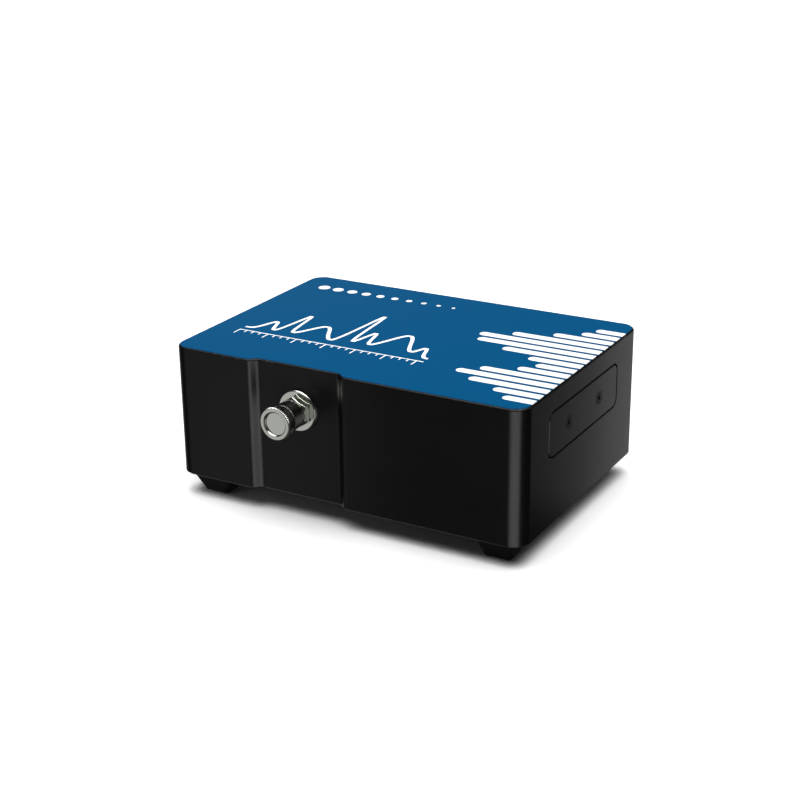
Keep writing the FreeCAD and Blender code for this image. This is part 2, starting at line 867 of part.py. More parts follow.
def stray_light_baffle():
    """Upright sheet beside the port block that keeps light from the slit off the grating."""
    x0 = port_x + port_block_width / 2
    return block(x0, x0 + baffle_thickness, bench_front, bench_front + baffle_length,
                 bench_top, cavity_top - baffle_top_gap)


def zero_order_trap():
    """V-shaped trap where the undispersed light from the grating ends."""
    specular = 2 * grating_heading() - heading(collimator_point - grating_point)
    ray = V(math.cos(specular), math.sin(specular), 0)
    run = (inner_rear - trap_inset - trap_depth / 2 - grating_point.y) / ray.y
    half = trap_width / 2
    outer = block(0, trap_depth, -half, half, bench_top, cavity_top - baffle_top_gap)
    inner = [V(-1, -half + trap_wall, bench_top + trap_wall),
             V(trap_depth - trap_wall, 0, bench_top + trap_wall),
             V(-1, half - trap_wall, bench_top + trap_wall),
             V(-1, -half + trap_wall, bench_top + trap_wall)]
    wedge = Part.Face(Part.makePolygon(inner)).extrude(UP * body_height)
    return set_down(outer.cut(wedge), stand(grating_point + ray * run, specular))


# Detector

def detector_package():
    """Ceramic package with a stepped hollow for its window and its sensor."""
    body = side_prism(detector_length, detector_height, detector_corner,
                      detector_front, detector_back)
    length = detector_length - 2 * window_margin
    height = detector_height - 2 * window_margin
    seat = side_prism(length, height, glass_corner,
                      detector_front - 1, detector_front + window_thickness)
    well = side_prism(length - sensor_well_margin, height - 2 * sensor_well_margin, glass_corner,
                      detector_front - 1, sensor_x + sensor_thickness)
    return body.cut([seat, well])


def detector_window():
    """Glass over the sensor, flush with the package's face."""
    gap = 2 * (window_margin + hole_gap)
    return side_prism(detector_length - gap, detector_height - gap, glass_corner,
                      detector_front, detector_front + window_thickness)


def sensor_strip():
    """Row of light-sensitive elements on the floor of the package."""
    return block(sensor_x, sensor_x + sensor_thickness, -sensor_length / 2, sensor_length / 2,
                 axis_z - sensor_height / 2, axis_z + sensor_height / 2)


def detector_pin_places():
    """Centres of the package's pins, on two rows."""
    middle = (pins_per_row - 1) / 2
    return [((index - middle) * pin_pitch, row * pin_rows / 2)
            for row in (-1, 1) for index in range(pins_per_row)]


def detector_pins():
    """Pins bent down beside the package, through the board."""
    pins = []
    half = pin_width / 2
    inner = detector_height / 2
    outer = pin_rows / 2 + half
    for y, rise in detector_pin_places():
        z0, z1 = sorted((math.copysign(inner, rise), math.copysign(outer, rise)))
        shoulder = block(detector_back - detector_thickness / 2, detector_back, y - half, y + half,
                         axis_z + z0, axis_z + z1)
        leg = block(detector_back, detector_board_back + pin_tail, y - half, y + half,
                    axis_z + rise - half, axis_z + rise + half)
        pins.append(fuse([shoulder, leg]))
    return pins


def carrier_screw_points(x):
    """Centres of the carrier's screws at one X place."""
    reach = carrier_length / 2 - carrier_screw_inset
    return [V(x, side * reach, axis_z) for side in (-1, 1)]


def detector_board():
    """Upright board that carries the detector and plugs into the main board."""
    half = detector_board_length / 2
    bottom = board_top + detector_board_drop
    board = block(detector_board_front, detector_board_back, -half, half,
                  bottom, axis_z + detector_board_rise)
    cuts = [rod(m2 + hole_gap, p, RIGHT, board_thickness)
            for p in carrier_screw_points(detector_board_front)]
    wide = pin_width / 2 + hole_gap
    for y, rise in detector_pin_places():
        cuts.append(block(detector_board_front, detector_board_back, y - wide, y + wide,
                          axis_z + rise - wide, axis_z + rise + wide))
    return board.cut(cuts)


def detector_carrier():
    """Bar in the wall's opening that joins the detector board to the side plate."""
    bar = side_prism(carrier_length, carrier_height, side_plate_radius - carrier_gap,
                     detector_board_back, carrier_outer)
    cuts = [rod(m25 + hole_gap, p, -RIGHT, side_plate_thickness + carrier_thickness)
            for p in side_screw_points()]
    for point in carrier_screw_points(carrier_outer):
        cuts.append(countersink(m2, m2_head, point, RIGHT))
        cuts.append(rod(m2 + hole_gap, point, -RIGHT, carrier_thickness))
    return bar.cut(cuts)


def carrier_screws():
    """Small flat screws from outside through the carrier, which end flush in the board."""
    screw = flat_screw(m2, m2_head, carrier_thickness + board_thickness)
    return [place(screw, p, RIGHT) for p in carrier_screw_points(carrier_outer)]


def lens_mount():
    """Frame in front of the detector, with a pocket for the lens and the filter."""
    half = lens_length / 2 + lens_mount_rim
    top = axis_z + lens_height / 2 + lens_mount_rim
    frame = block(lens_mount_front, lens_mount_back, -half, half, bench_top, top)
    toe = block(lens_mount_front - lens_mount_toe, lens_mount_front, -half, half,
                bench_top, bench_top + mount_foot)
    pocket = block(lens_mount_back - lens_pocket_depth, lens_mount_back + 1,
                   -lens_length / 2 - lens_pocket_gap, lens_length / 2 + lens_pocket_gap,
                   axis_z - lens_height / 2 - lens_pocket_gap,
                   axis_z + lens_height / 2 + lens_pocket_gap)
    light = side_prism(lens_length - 2 * lens_window_margin, lens_height - 2 * lens_window_margin,
                       glass_corner, lens_mount_front - 1, lens_mount_back)
    cuts = [pocket, light]
    for side in (-1, 1):
        point = V(lens_mount_front - lens_mount_toe / 2, side * lens_length / 3, bench_top)
        cuts.append(rod(m25 + hole_gap, point, UP, mount_foot))
    return fuse([frame, toe]).cut(cuts)


def collection_lens():
    """Cylindrical lens that squeezes the spectrum onto the sensor's low strip."""
    x1 = lens_mount_back - filter_thickness
    x0 = x1 - lens_thickness
    edge = x0 + lens_bulge
    half = lens_height / 2
    low, high = V(x1, 0, axis_z - half), V(x1, 0, axis_z + half)
    shoulder_low, shoulder_high = V(edge, 0, axis_z - half), V(edge, 0, axis_z + half)
    profile = Part.Wire([
        Part.LineSegment(low, high).toShape(),
        Part.LineSegment(high, shoulder_high).toShape(),
        Part.Arc(shoulder_high, V(x0, 0, axis_z), shoulder_low).toShape(),
        Part.LineSegment(shoulder_low, low).toShape(),
    ])
    profile.translate(V(0, -lens_length / 2, 0))
    return Part.Face(profile).extrude(V(0, lens_length, 0))


def order_filter():
    """Glass strip behind the lens that stops second-order light."""
    return side_prism(lens_length, lens_height, glass_corner,
                      lens_mount_back - filter_thickness, lens_mount_back)


# Electronics

def main_board():
    """Circuit board over the base plate, pierced for the pillars."""
    edge = inner_x - bench_margin
    board = prism(notched_corners(-edge, edge), board_bottom, board_top)
    cuts = [rod(pillar_radius + post_gap, p, UP, board_thickness)
            for p in corner_points(pillar_x, pillar_y, board_bottom)]
    cuts += [rod(m25 + hole_gap, p, UP, board_thickness)
             for p in corner_points(board_boss_x, board_boss_y, board_bottom)]
    return board.cut(cuts)


def board_screws():
    """Screws through the main board into the base plate's bosses."""
    screw = pan_screw(m25, m25_head, m25_head_height, board_thickness + board_boss_height)
    level = board_top + m25_head_height
    return [place(screw, p, UP) for p in corner_points(board_boss_x, board_boss_y, level)]


def link_header():
    """Socket strip that takes the lower edge of the detector board."""
    middle = (detector_board_front + detector_board_back) / 2
    strip = block(middle - header_width / 2, middle + header_width / 2,
                  -header_length / 2, header_length / 2, board_top, board_top + header_height)
    groove = block(detector_board_front - hole_gap, detector_board_back + hole_gap,
                   -body_depth, body_depth, board_top + detector_board_drop, axis_z)
    return strip.cut(groove)


def chip(x, y, size):
    """Chip package with a bevelled top edge, on its leads, on the main board."""
    width, depth, height = size
    z0 = board_top + chip_lift
    body = block(x - width / 2, x + width / 2, y - depth / 2, y + depth / 2, z0, z0 + height)
    body = body.makeChamfer(chip_bevel, flat_edges(body, z0 + height, UP))
    pad = block(x - width / 2, x + width / 2, y - depth / 3, y + depth / 3, board_top, z0)
    return fuse([body, pad])


def processor_chip():
    """Main processor."""
    return chip(processor_x, processor_y, processor_size)


def converter_chip():
    """Analogue-to-digital converter, near the detector's header."""
    header_face = (detector_board_front + detector_board_back - header_width) / 2
    return chip(header_face - converter_gap - converter_size[0] / 2, 0, converter_size)


def support_chips():
    """Memory beside the processor, and interface and regulator in front of the rear sockets."""
    aside = processor_size[0] + chip_gap
    return [chip(processor_x + aside, processor_y, memory_size),
            chip(usb_x, board_boss_y, memory_size),
            chip(extension_x, board_boss_y, regulator_size)]


def board_capacitors():
    """Two rows of small capacitors in front of and behind the processor."""
    width, depth, height = capacitor_size
    row = []
    for index in range(-3, 3):
        for side in (-1, 1):
            x = processor_x + (index + 0.5) * capacitor_pitch
            y = processor_y + side * (processor_size[1] / 2 + 2 * depth)
            row.append(block(x - width / 2, x + width / 2, y - depth / 2, y + depth / 2,
                             board_top, board_top + height))
    return row


def clock_crystal():
    """Crystal beside the processor, in a can with rounded ends."""
    width, depth, height = crystal_size
    x = processor_x - processor_size[0] - chip_gap
    outline = rectangle(x - width / 2, x + width / 2, processor_y - depth / 2,
                        processor_y + depth / 2, width / 2 - chip_lift)
    return prism(outline, board_top, board_top + height)


def socket_front():
    """Y place of the mouths of the rear sockets."""
    return half_depth - socket_setback


def usb_socket():
    """Metal shell of the data and power socket, open to the rear, its lower corners cut off."""
    half = usb_width / 2
    bevel = usb_height / 4

    def profile(inset, y0, y1):
        low = board_top + inset
        high = board_top + usb_height - inset
        side = half - inset
        points = [(-side + bevel, low), (side - bevel, low), (side, low + bevel), (side, high),
                  (-side, high), (-side, low + bevel), (-side + bevel, low)]
        wire = Part.makePolygon([V(usb_x + x, y0, z) for x, z in points])
        return Part.Face(wire).extrude(V(0, y1 - y0, 0))

    back = socket_front() - usb_length
    return profile(0, back, socket_front()).cut(profile(usb_shell, back + usb_shell, half_depth + 1))


def usb_tongue():
    """Insulated tongue inside the data socket, which stands on the shell's rear wall."""
    back = socket_front() - usb_length + usb_shell
    middle = board_top + usb_height / 2
    half = usb_width / 2 - 2 * usb_tongue_thickness
    return block(usb_x - half, usb_x + half, back, socket_front() - contact_setback,
                 middle, middle + usb_tongue_thickness)


def extension_socket():
    """Box header for triggers and accessories, open to the rear, with a key slot in its top."""
    back = socket_front() - extension_length
    half = extension_width / 2
    z0, z1 = board_top, board_top + extension_height
    body = block(extension_x - half, extension_x + half, back, socket_front(), z0, z1)
    wall = extension_wall
    cavity = block(extension_x - half + wall, extension_x + half - wall,
                   socket_front() - extension_cavity, half_depth + 1, z0 + wall, z1 - wall)
    key = block(extension_x - extension_key / 2, extension_x + extension_key / 2,
                socket_front() - extension_cavity / 2, half_depth + 1, z1 - wall - 1, z1 + 1)
    return body.cut([cavity, key])


def extension_pins():
    """Two rows of five pins inside the extension socket."""
    pins = []
    middle = board_top + extension_height / 2
    back = socket_front() - extension_cavity
    for index in range(-2, 3):
        for row in (-1, 1):
            x = extension_x + index * extension_pitch
            z = middle + row * extension_pitch / 2
            half = pin_width / 2
            pins.append(block(x - half, x + half, back, socket_front() - contact_setback,
                              z - half, z + half))
    return pins


def save(name, shape):
    """Writes one node as a STEP file, moved to the part's origin."""
    solid = Part.makeCompound(shape) if isinstance(shape, list) else shape
    moved = solid.copy()
    moved.translate(V(0, origin_shift, 0))
    moved.exportStep(os.path.join("parts", name + ".step"))


def main():
    """Builds every node. Nodes with several equal pieces hold one solid for each."""
    os.makedirs("parts", exist_ok=True)
    feet = {"front_left": (-1, -1), "front_right": (1, -1), "rear_left": (-1, 1),
            "rear_right": (1, 1)}
    for name, (sx, sy) in feet.items():
        save("foot_" + name, foot(sx * post_x, sy * post_y))
    builders = [
        housing, top_label, base_plate, foot_screws, side_plate, side_plate_screws,
        port_connector, port_washer, port_nut, cap_barrel, cap_end_disc, cap_seal,
        optical_bench, bench_pillars, pillar_screws, bench_screws,
        slit_disc, slit_holder, slit_retainer,
        collimating_mirror, collimator_mount, focusing_mirror, focusing_mount,
        diffraction_grating, grating_mount, mount_screws, stray_light_baffle, zero_order_trap,
        detector_package, detector_window, sensor_strip, detector_pins, detector_board,
        detector_carrier, carrier_screws, lens_mount, collection_lens, order_filter,
        main_board, board_screws, link_header, processor_chip, converter_chip, support_chips,
        board_capacitors, clock_crystal, usb_socket, usb_tongue, extension_socket, extension_pins,
    ]
    for build in builders:
        save(build.__name__, build())
    print("focal lengths", round(collimator_focal, 1), round(focusing_focal, 1))
    print("grating at", grating_point, "heading", round(math.degrees(grating_heading()), 1))
    print("port face y", port_face + origin_shift, "axis z", axis_z, "shift", origin_shift)


main()
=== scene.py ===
# %% [markdown]
# # A miniature spectrometer
#
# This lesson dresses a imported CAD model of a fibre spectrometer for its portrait. The instrument
# is a black anodised housing the size of a hand, with a printed blue film on its top face, a
# bright fibre port under a screw-on dust cap, a cover plate in its right wall and four rubber
# feet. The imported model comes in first, as a frame that never moves. All that follows is
# measured from it, in metres.

import json
import math

import bmesh
import bpy
import mathutils
import numpy as np
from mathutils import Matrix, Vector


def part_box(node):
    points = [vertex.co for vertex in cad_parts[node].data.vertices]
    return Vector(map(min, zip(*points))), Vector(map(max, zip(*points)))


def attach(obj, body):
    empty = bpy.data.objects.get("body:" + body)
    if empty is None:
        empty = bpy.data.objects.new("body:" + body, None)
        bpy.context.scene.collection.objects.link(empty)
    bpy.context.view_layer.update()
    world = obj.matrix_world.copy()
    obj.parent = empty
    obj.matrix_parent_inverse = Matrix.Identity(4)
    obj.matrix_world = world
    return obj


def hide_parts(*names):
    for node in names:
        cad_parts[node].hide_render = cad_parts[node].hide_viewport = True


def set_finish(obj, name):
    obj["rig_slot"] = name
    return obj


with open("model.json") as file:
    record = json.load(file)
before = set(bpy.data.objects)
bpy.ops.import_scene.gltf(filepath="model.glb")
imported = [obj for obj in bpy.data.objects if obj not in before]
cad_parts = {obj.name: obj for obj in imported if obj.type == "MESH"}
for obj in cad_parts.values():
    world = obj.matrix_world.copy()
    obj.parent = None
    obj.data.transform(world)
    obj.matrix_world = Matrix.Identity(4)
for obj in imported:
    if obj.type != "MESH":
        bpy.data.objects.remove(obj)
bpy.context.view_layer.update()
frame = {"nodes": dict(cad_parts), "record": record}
mm = 0.001

# %% [markdown]
# ## Camera
#
# The photograph was taken from the front right and a little above. A camera fitted to the
# outline of the housing gives its place, its turn and its lens. The lens is long for so small an
# object, so the sides of the housing draw together only slightly.

# %% Camera at the photograph's place
camera_data = bpy.data.cameras.new("portrait_camera")
camera_data.sensor_width = 36.0
camera_data.lens = 72.23
camera_data.clip_start = 0.01
camera = bpy.data.objects.new("portrait_camera", camera_data)
camera.location = (218.90 * mm, -383.74 * mm, 198.36 * mm)
camera.rotation_euler = [math.radians(turn) for turn in (68.890, 0.626, 29.476)]
bpy.context.scene.collection.objects.link(camera)
bpy.context.scene.camera = camera
print("camera stands", round(camera.location.length, 3), "m from the origin")

# %% [markdown]
# ## Outlines and surfaces
#
# Nearly every visible piece here was milled, turned or moulded, so each is an outline carried
# along something. A housing wall is a plan outline carried up a profile, and a cap is a profile
# carried round an axis. The first helper turns a list of corners into points with outward
# normals, because a wall that steps in or out has to step along those normals. The others lay a
# grid of four-sided faces over rows of points, and join such grids into one closed mesh.

# %% A rounded outline with its normals
def rounded_outline(corners, steps=12):
    """Points and outward normals round an anticlockwise outline of (x, y, radius) corners.

    Each corner becomes an arc that touches both its sides. The arc starts radius times the
    tangent of half the turn before the corner, and its normals swing through the turn.
    """
    points, normals = [], []
    for index, (x, y, radius) in enumerate(corners):
        corner = np.array([x, y])
        arriving = corner - np.array(corners[index - 1][:2])
        leaving = np.array(corners[(index + 1) % len(corners)][:2]) - corner
        arriving, leaving = arriving / np.hypot(*arriving), leaving / np.hypot(*leaving)
        cross = arriving[0] * leaving[1] - arriving[1] * leaving[0]
        turn = math.atan2(cross, arriving @ leaving)
        side = math.copysign(1.0, turn)
        start = corner - arriving * radius * math.tan(abs(turn) / 2)
        heading = math.atan2(-arriving[0], arriving[1])
        first = np.array([math.cos(heading), math.sin(heading)])
        centre = start - first * radius * side
        swing = heading + turn * np.linspace(0, 1, steps + 1)
        fan = np.stack([np.cos(swing), np.sin(swing)], axis=1)
        points.append(centre + side * radius * fan)
        normals.append(fan)
    return np.concatenate(points), np.concatenate(normals)


def rectangle(centre_x, centre_y, width, depth, radius):
    """Outline and normals of a rectangle with one corner radius."""
    x0, x1 = centre_x - width / 2, centre_x + width / 2
    y0, y1 = centre_y - depth / 2, centre_y + depth / 2
    corners = [(x0, y0, radius), (x1, y0, radius), (x1, y1, radius), (x0, y1, radius)]
    return rounded_outline(corners, steps=8)


# %% Grids of faces and closed meshes
hard_edge = 30.0


def grid_faces(rows, columns, close_rows):
    """Four corner numbers for each face of a grid whose columns run round a closed loop."""
    row_count = rows if close_rows else rows - 1
    row, column = np.meshgrid(np.arange(row_count), np.arange(columns), indexing="ij")
    next_row, next_column = (row + 1) % rows, (column + 1) % columns
    corners = [row * columns + column, row * columns + next_column,
               next_row * columns + next_column, next_row * columns + column]
    return np.stack(corners, axis=-1).reshape(-1, 4)


def held(rings, reach=0.12 * mm):
    """Adds a ring close to both ends of each stretch much longer than the reach.

    The shading then bends only within the reach and stays straight between.
    """
    gaps = np.linalg.norm(np.diff(rings, axis=0), axis=2).mean(axis=1)
    kept = [rings[:1]]
    for before, after, gap in zip(rings[:-1], rings[1:], gaps):
        if gap > 5 * reach:
            step = (after - before) * reach / gap
            kept.append(np.stack([before + step, after - step]))
        kept.append(after[None])
    return np.concatenate(kept)


def closed_mesh(name, rings, close_rows=False, sharp=hard_edge):
    """Mesh through equal rings of points, its ends lidded unless the rows close on themselves.

    Doubles merge, normals turn outwards, and edges that bend more than the sharp angle stay hard.
    """
    rings = held(np.asarray(rings, dtype=float))
    rows, columns = rings.shape[:2]
    faces = [list(face) for face in grid_faces(rows, columns, close_rows)]
    if not close_rows:
        faces.append(list(range(columns)))
        faces.append(list(range((rows - 1) * columns, rows * columns)))
    mesh = bpy.data.meshes.new(name)
    mesh.from_pydata(rings.reshape(-1, 3).tolist(), [], faces)
    shape = bmesh.new()
    shape.from_mesh(mesh)
    bmesh.ops.remove_doubles(shape, verts=shape.verts, dist=1e-7)
    bmesh.ops.dissolve_degenerate(shape, edges=shape.edges, dist=1e-7)
    bmesh.ops.recalc_face_normals(shape, faces=shape.faces)
    shape.to_mesh(mesh)
    shape.free()
    mesh.shade_smooth()
    mesh.set_sharp_from_angle(angle=math.radians(sharp))
    return mesh


def carried(points, normals, profile):
    """Rings of an outline carried along (inset, height) steps, each ring its inset inside the outline."""
    inset, height = np.array(profile).T
    flat = points[None] - inset[:, None, None] * normals[None]
    level = np.broadcast_to(height[:, None, None], flat.shape[:2] + (1,))
    return np.concatenate([flat, level], axis=2)


def rounding(start, radius, steps=5):
    """Quarter-circle steps of (inset, height) over a top edge, from the wall to the top face."""
    angle = np.linspace(0, math.pi / 2, steps + 1)
    inset = start[0] + radius * (1 - np.cos(angle))
    height = start[1] + radius * np.sin(angle)
    return list(zip(inset, height))


# %% [markdown]
# ## Cutting and keeping
#
# Holes and pockets are cut as a mill cuts them: a closed form is taken away from a closed form.
# The result is kept as a plain mesh, so no modifier is live on a finished piece. A weighted
# normal pass keeps wide flat faces truly flat beside small rounded edges, because averaged
# normals would bend their reflections.

# %% Cutters, weighted normals and finished pieces
def settled(piece):
    """Applies a piece's modifiers, so that its mesh is its final shape."""
    bpy.context.view_layer.update()
    shown = piece.evaluated_get(bpy.context.evaluated_depsgraph_get())
    mesh = bpy.data.meshes.new_from_object(shown)
    piece.modifiers.clear()
    piece.data = mesh
    return piece


def new_object(name, mesh):
    """Object at the origin, unturned and unscaled, in the scene."""
    made = bpy.data.objects.new(name, mesh)
    bpy.context.scene.collection.objects.link(made)
    return made


def shaped(name, rings, close_rows=False, sharp=hard_edge):
    """Object with a closed mesh through rings."""
    return new_object(name, closed_mesh(name, rings, close_rows, sharp))


def cut_away(piece, cutters):
    """Takes closed meshes away from a piece."""
    for mesh in cutters:
        tool = new_object("tool", mesh)
        change = piece.modifiers.new("cut", "BOOLEAN")
        change.operation = "DIFFERENCE"
        change.solver = "EXACT"
        change.object = tool
        settled(piece)
        bpy.data.objects.remove(tool)
    piece.data.shade_smooth()
    piece.data.set_sharp_from_angle(angle=math.radians(hard_edge))
    return piece


pieces = []


def finished(name, piece, body, slot, stands_for):
    """Evens the normals of a piece, names it and lets it ride in place of CAD nodes."""
    even = piece.modifiers.new("even", "WEIGHTED_NORMAL")
    even.keep_sharp = True
    even.weight = 80
    settled(piece)
    piece.name = piece.data.name = name
    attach(piece, body)
    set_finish(piece, slot)
    if stands_for:
        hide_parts(*stands_for)
    triangles = sum(len(face.vertices) - 2 for face in piece.data.polygons)
    print(name, "has", triangles, "triangles")
    pieces.append(piece)
    return piece


# %% [markdown]
# ## Places on the instrument
#
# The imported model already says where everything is. The washer's rear face is the floor of the
# recess, the label's lower face is the top of the housing, and the washer's centre is on the
# port's axis. Measuring those boxes keeps the dressed pieces on the solids.

# %% Read places from the CAD boxes
def box_of(node):
    """Lowest and highest corner of a node, as arrays."""
    low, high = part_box(node)
    return np.array(low), np.array(high)


def box_outline(low, high, axes, radius, wider=0.0):
    """Outline and normals of a box, made wider all round, in the plane of two axes."""
    (x0, y0), (x1, y1) = low[axes], high[axes]
    return rectangle((x0 + x1) / 2, (y0 + y1) / 2, x1 - x0 + 2 * wider, y1 - y0 + 2 * wider, radius)


from_above, from_right = [0, 1], [1, 2]

housing_low, housing_high = box_of("housing")
label_low, label_high = box_of("top_label")
washer_low, washer_high = box_of("port_washer")
nut_low, nut_high = box_of("port_nut")
barrel_low, barrel_high = box_of("cap_barrel")
disc_low, disc_high = box_of("cap_end_disc")
connector_low, connector_high = box_of("port_connector")
plate_low, plate_high = box_of("side_plate")
base_low, base_high = box_of("base_plate")

foot_places = ("front_left", "front_right", "rear_left", "rear_right")
wall_left, wall_right = housing_low[0], housing_high[0]
wall_front, wall_rear = housing_low[1], housing_high[1]
wall_bottom, wall_top = housing_low[2], label_low[2]
recess_y = washer_high[1]
port_x = (washer_low[0] + washer_high[0]) / 2
port_z = (washer_low[2] + washer_high[2]) / 2
print("recess is", round((recess_y - wall_front) / mm, 2), "mm deep, port axis at",
      round(port_x / mm, 2), round(port_z / mm, 2), "mm")

# %% [markdown]
# ## Housing
#
# The housing is one milled block: four walls and a top. Across its front runs a shallow recess
# between two soft ramps, each made of an inward and an outward curve, which catch the light as
# thin vertical bands. The outer form is the plan outline carried up the wall, with a small
# chamfer at the foot and a half-millimetre rounding at the top. The inside, the pocket for the
# side plate and the openings for the rear sockets are cut from it.

# %% Plan outline with the recess
corner_radius = 4.8 * mm
ramp_radius = 2.4 * mm
ramp_run = 2.05 * mm
recess_width = 28.8 * mm

ramp_left, ramp_right = port_x - recess_width / 2, port_x + recess_width / 2
plan_corners = [
    (wall_left, wall_front, corner_radius),
    (ramp_left - ramp_run / 2, wall_front, ramp_radius),
    (ramp_left + ramp_run / 2, recess_y, ramp_radius),
    (ramp_right - ramp_run / 2, recess_y, ramp_radius),
    (ramp_right + ramp_run / 2, wall_front, ramp_radius),
    (wall_right, wall_front, corner_radius),
    (wall_right, wall_rear, corner_radius),
    (wall_left, wall_rear, corner_radius),
]
plan, plan_normals = rounded_outline(plan_corners, steps=16)
print("plan outline of", len(plan), "points")

# %% Outer form
top_rounding = 0.5 * mm
foot_chamfer = 0.4 * mm

wall_profile = [(foot_chamfer, wall_bottom), (0.0, wall_bottom + foot_chamfer)]
wall_profile += rounding((0.0, wall_top - top_rounding), top_rounding)
housing = shaped("housing_form", carried(plan, plan_normals, wall_profile))
print("outer form is", round((wall_top - wall_bottom) / mm, 2), "mm high")

# %% Pocket, openings and inside
side_wall, top_wall = 3.2 * mm, 3.0 * mm
base_thickness, base_gap = 3.0 * mm, 0.15 * mm
cavity_radius = 2.5 * mm
plate_gap, plate_radius = 0.2 * mm, 2.5 * mm
pocket_edge = 0.15 * mm
ledge_width = 1.6 * mm
socket_gap = 0.3 * mm
post_radius, post_hole = 3.6 * mm, 1.25 * mm
port_hole_radius = 3.325 * mm
port_hole_ends = [[5 * mm], [-10 * mm]]


def upright_cutter(name, outline, low, high):
    """Closed straight form on an outline, between two levels."""
    return closed_mesh(name, carried(*outline, [(0.0, low), (0.0, high)]))


def side_form(name, low, high, radius, profile, sharp=hard_edge):
    """Closed form on a box seen from the right, carried along (inset, place along x) steps.

    The carried rings hold y, z and x in turn, so x is put first.
    """
    outline = box_outline(low, high, from_right, radius)
    return closed_mesh(name, carried(*outline, profile)[..., [2, 0, 1]], sharp=sharp)


def rear_cutter(node):
    """Box a little wider than a rear socket, through the rear wall."""
    low, high = box_of(node)
    width, depth, radius = high[0] - low[0] + 2 * socket_gap, 10 * mm, 0.2 * mm
    outline = rectangle((low[0] + high[0]) / 2, wall_rear, width, depth, radius)
    return upright_cutter("opening", outline, low[2] - socket_gap, high[2] + socket_gap)


def turns(count):
    """Equal angles once round the axis."""
    return np.linspace(0, 2 * math.pi, count, endpoint=False)[None]


def columns_of(profile):
    """Each part of a list of profile steps as a column, which spreads over the angles."""
    return np.array(profile, dtype=float).T[..., None]


def circles(profile, count):
    """Circles of (radius, place) steps: the place, and the radius times cosine and sine of the angle."""
    radius, place, angle = np.broadcast_arrays(*columns_of(profile), turns(count))
    return place, radius * np.cos(angle), radius * np.sin(angle)


def about_port(radius, out, angle):
    """Points at a radius and angle round the port axis, out in front of the recess floor."""
    radius, out, angle = np.broadcast_arrays(radius, out, angle)
    return np.stack([port_x + radius * np.cos(angle), recess_y - out,
                     port_z + radius * np.sin(angle)], axis=-1)


def post_form(node):
    """Upright tube over a foot: the post that takes the foot's screw, with its hole."""
    low, high = box_of(node)
    x, y = ((low + high) / 2)[from_above]
    level, across, along = circles([(post_hole, base_top), (post_radius, base_top),
                                    (post_radius, wall_top), (post_hole, wall_top)], 48)
    return closed_mesh("post", np.stack([x + across, y + along, level], axis=-1), close_rows=True)


base_top = base_low[2] + base_thickness
inside = box_outline(base_low, base_high, from_above, cavity_radius, wider=base_gap)
hollow = new_object("hollow", upright_cutter("inside", inside, wall_bottom - mm, wall_top - top_wall))
cut_away(hollow, [post_form("foot_" + place) for place in foot_places])
port_hole = about_port(port_hole_radius, np.array(port_hole_ends), turns(64))
pocket_profile = [(0.0, plate_low[0]), (0.0, wall_right - pocket_edge), (-pocket_edge, wall_right),
                  (-pocket_edge, wall_right + mm)]
window_profile = [(0.0, wall_right - side_wall - mm), (0.0, plate_low[0] + 0.5 * mm)]
ledge = np.array([0.0, ledge_width, ledge_width])
cut_away(housing, [
    hollow.data,
    closed_mesh("port_hole", port_hole),
    side_form("pocket", plate_low - plate_gap, plate_high + plate_gap, plate_radius + plate_gap,
              pocket_profile),
    side_form("window", plate_low + ledge, plate_high - ledge, plate_radius, window_profile),
    rear_cutter("usb_socket"),
    rear_cutter("extension_socket"),
])
bpy.data.objects.remove(hollow)
housing = finished("housing_skin", housing, "spectrometer", "housing_black", ["housing"])

# %% [markdown]
# ## Printed film
#
# A printed film covers the top face, half a millimetre inside the housing's edge. It follows the
# recess along the front. The film is thin, but its cut edge still catches a line of light, so it
# is a slab with a tiny bevel and not a bare sheet.

# %% Film on the top face
film_inset = plan[:, 0].max() - label_high[0]
film_bevel = 0.05 * mm
film_profile = [
    (film_inset, label_low[2]),
    (film_inset, label_high[2] - film_bevel),
    (film_inset + film_bevel, label_high[2]),
]
film = shaped("film", carried(plan, plan_normals, film_profile))
finished("printed_film", film, "spectrometer", "label_print", ["top_label"])

# %% [markdown]
# ## Side cover plate
#
# The plate lies flush in its pocket, and only its bevelled rim shows, as a thin bright line at
# each end. The bevel is part of the carried profile. Its two countersinks are turned cones that
# are cut away, so the screws lie in real seats.

# %% Turned forms about an axis to the right
def side_disc(name, centre, profile):
    """Closed form turned about a line along x through a centre, from (radius, place along x) steps."""
    place, across, along = circles(profile, 64)
    return closed_mesh(name, np.stack([place, centre[1] + across, centre[2] + along], axis=-1))


# %% Plate and its two countersinks
plate_bevel = 0.35 * mm
plate_bevel_depth = 1.3 * plate_bevel
shank_radius = 1.25 * mm
screw_gap = 0.05 * mm
seat_margin = 0.1 * mm

screw_low, screw_high = box_of("side_plate_screws")
head_radius = (screw_high[2] - screw_low[2]) / 2
screw_centres = [np.array([wall_right, y, (screw_low[2] + screw_high[2]) / 2])
                 for y in (screw_low[1] + head_radius, screw_high[1] - head_radius)]
wide, narrow = head_radius + screw_gap, shank_radius + screw_gap
seat_profile = [(wide + seat_margin, wall_right + seat_margin),
                (narrow, wall_right - (wide - narrow)), (narrow, plate_low[0] - mm)]
plate_profile = [(0.0, plate_low[0]), (0.0, plate_high[0] - plate_bevel_depth),
                 (plate_bevel, plate_high[0])]
plate_form = side_form("plate", plate_low, plate_high, plate_radius, plate_profile, sharp=40)
plate = new_object("plate", plate_form)
cut_away(plate, [side_disc("seat", centre, seat_profile) for centre in screw_centres])
plate = finished("side_cover", plate, "spectrometer", "housing_black", ["side_plate"])

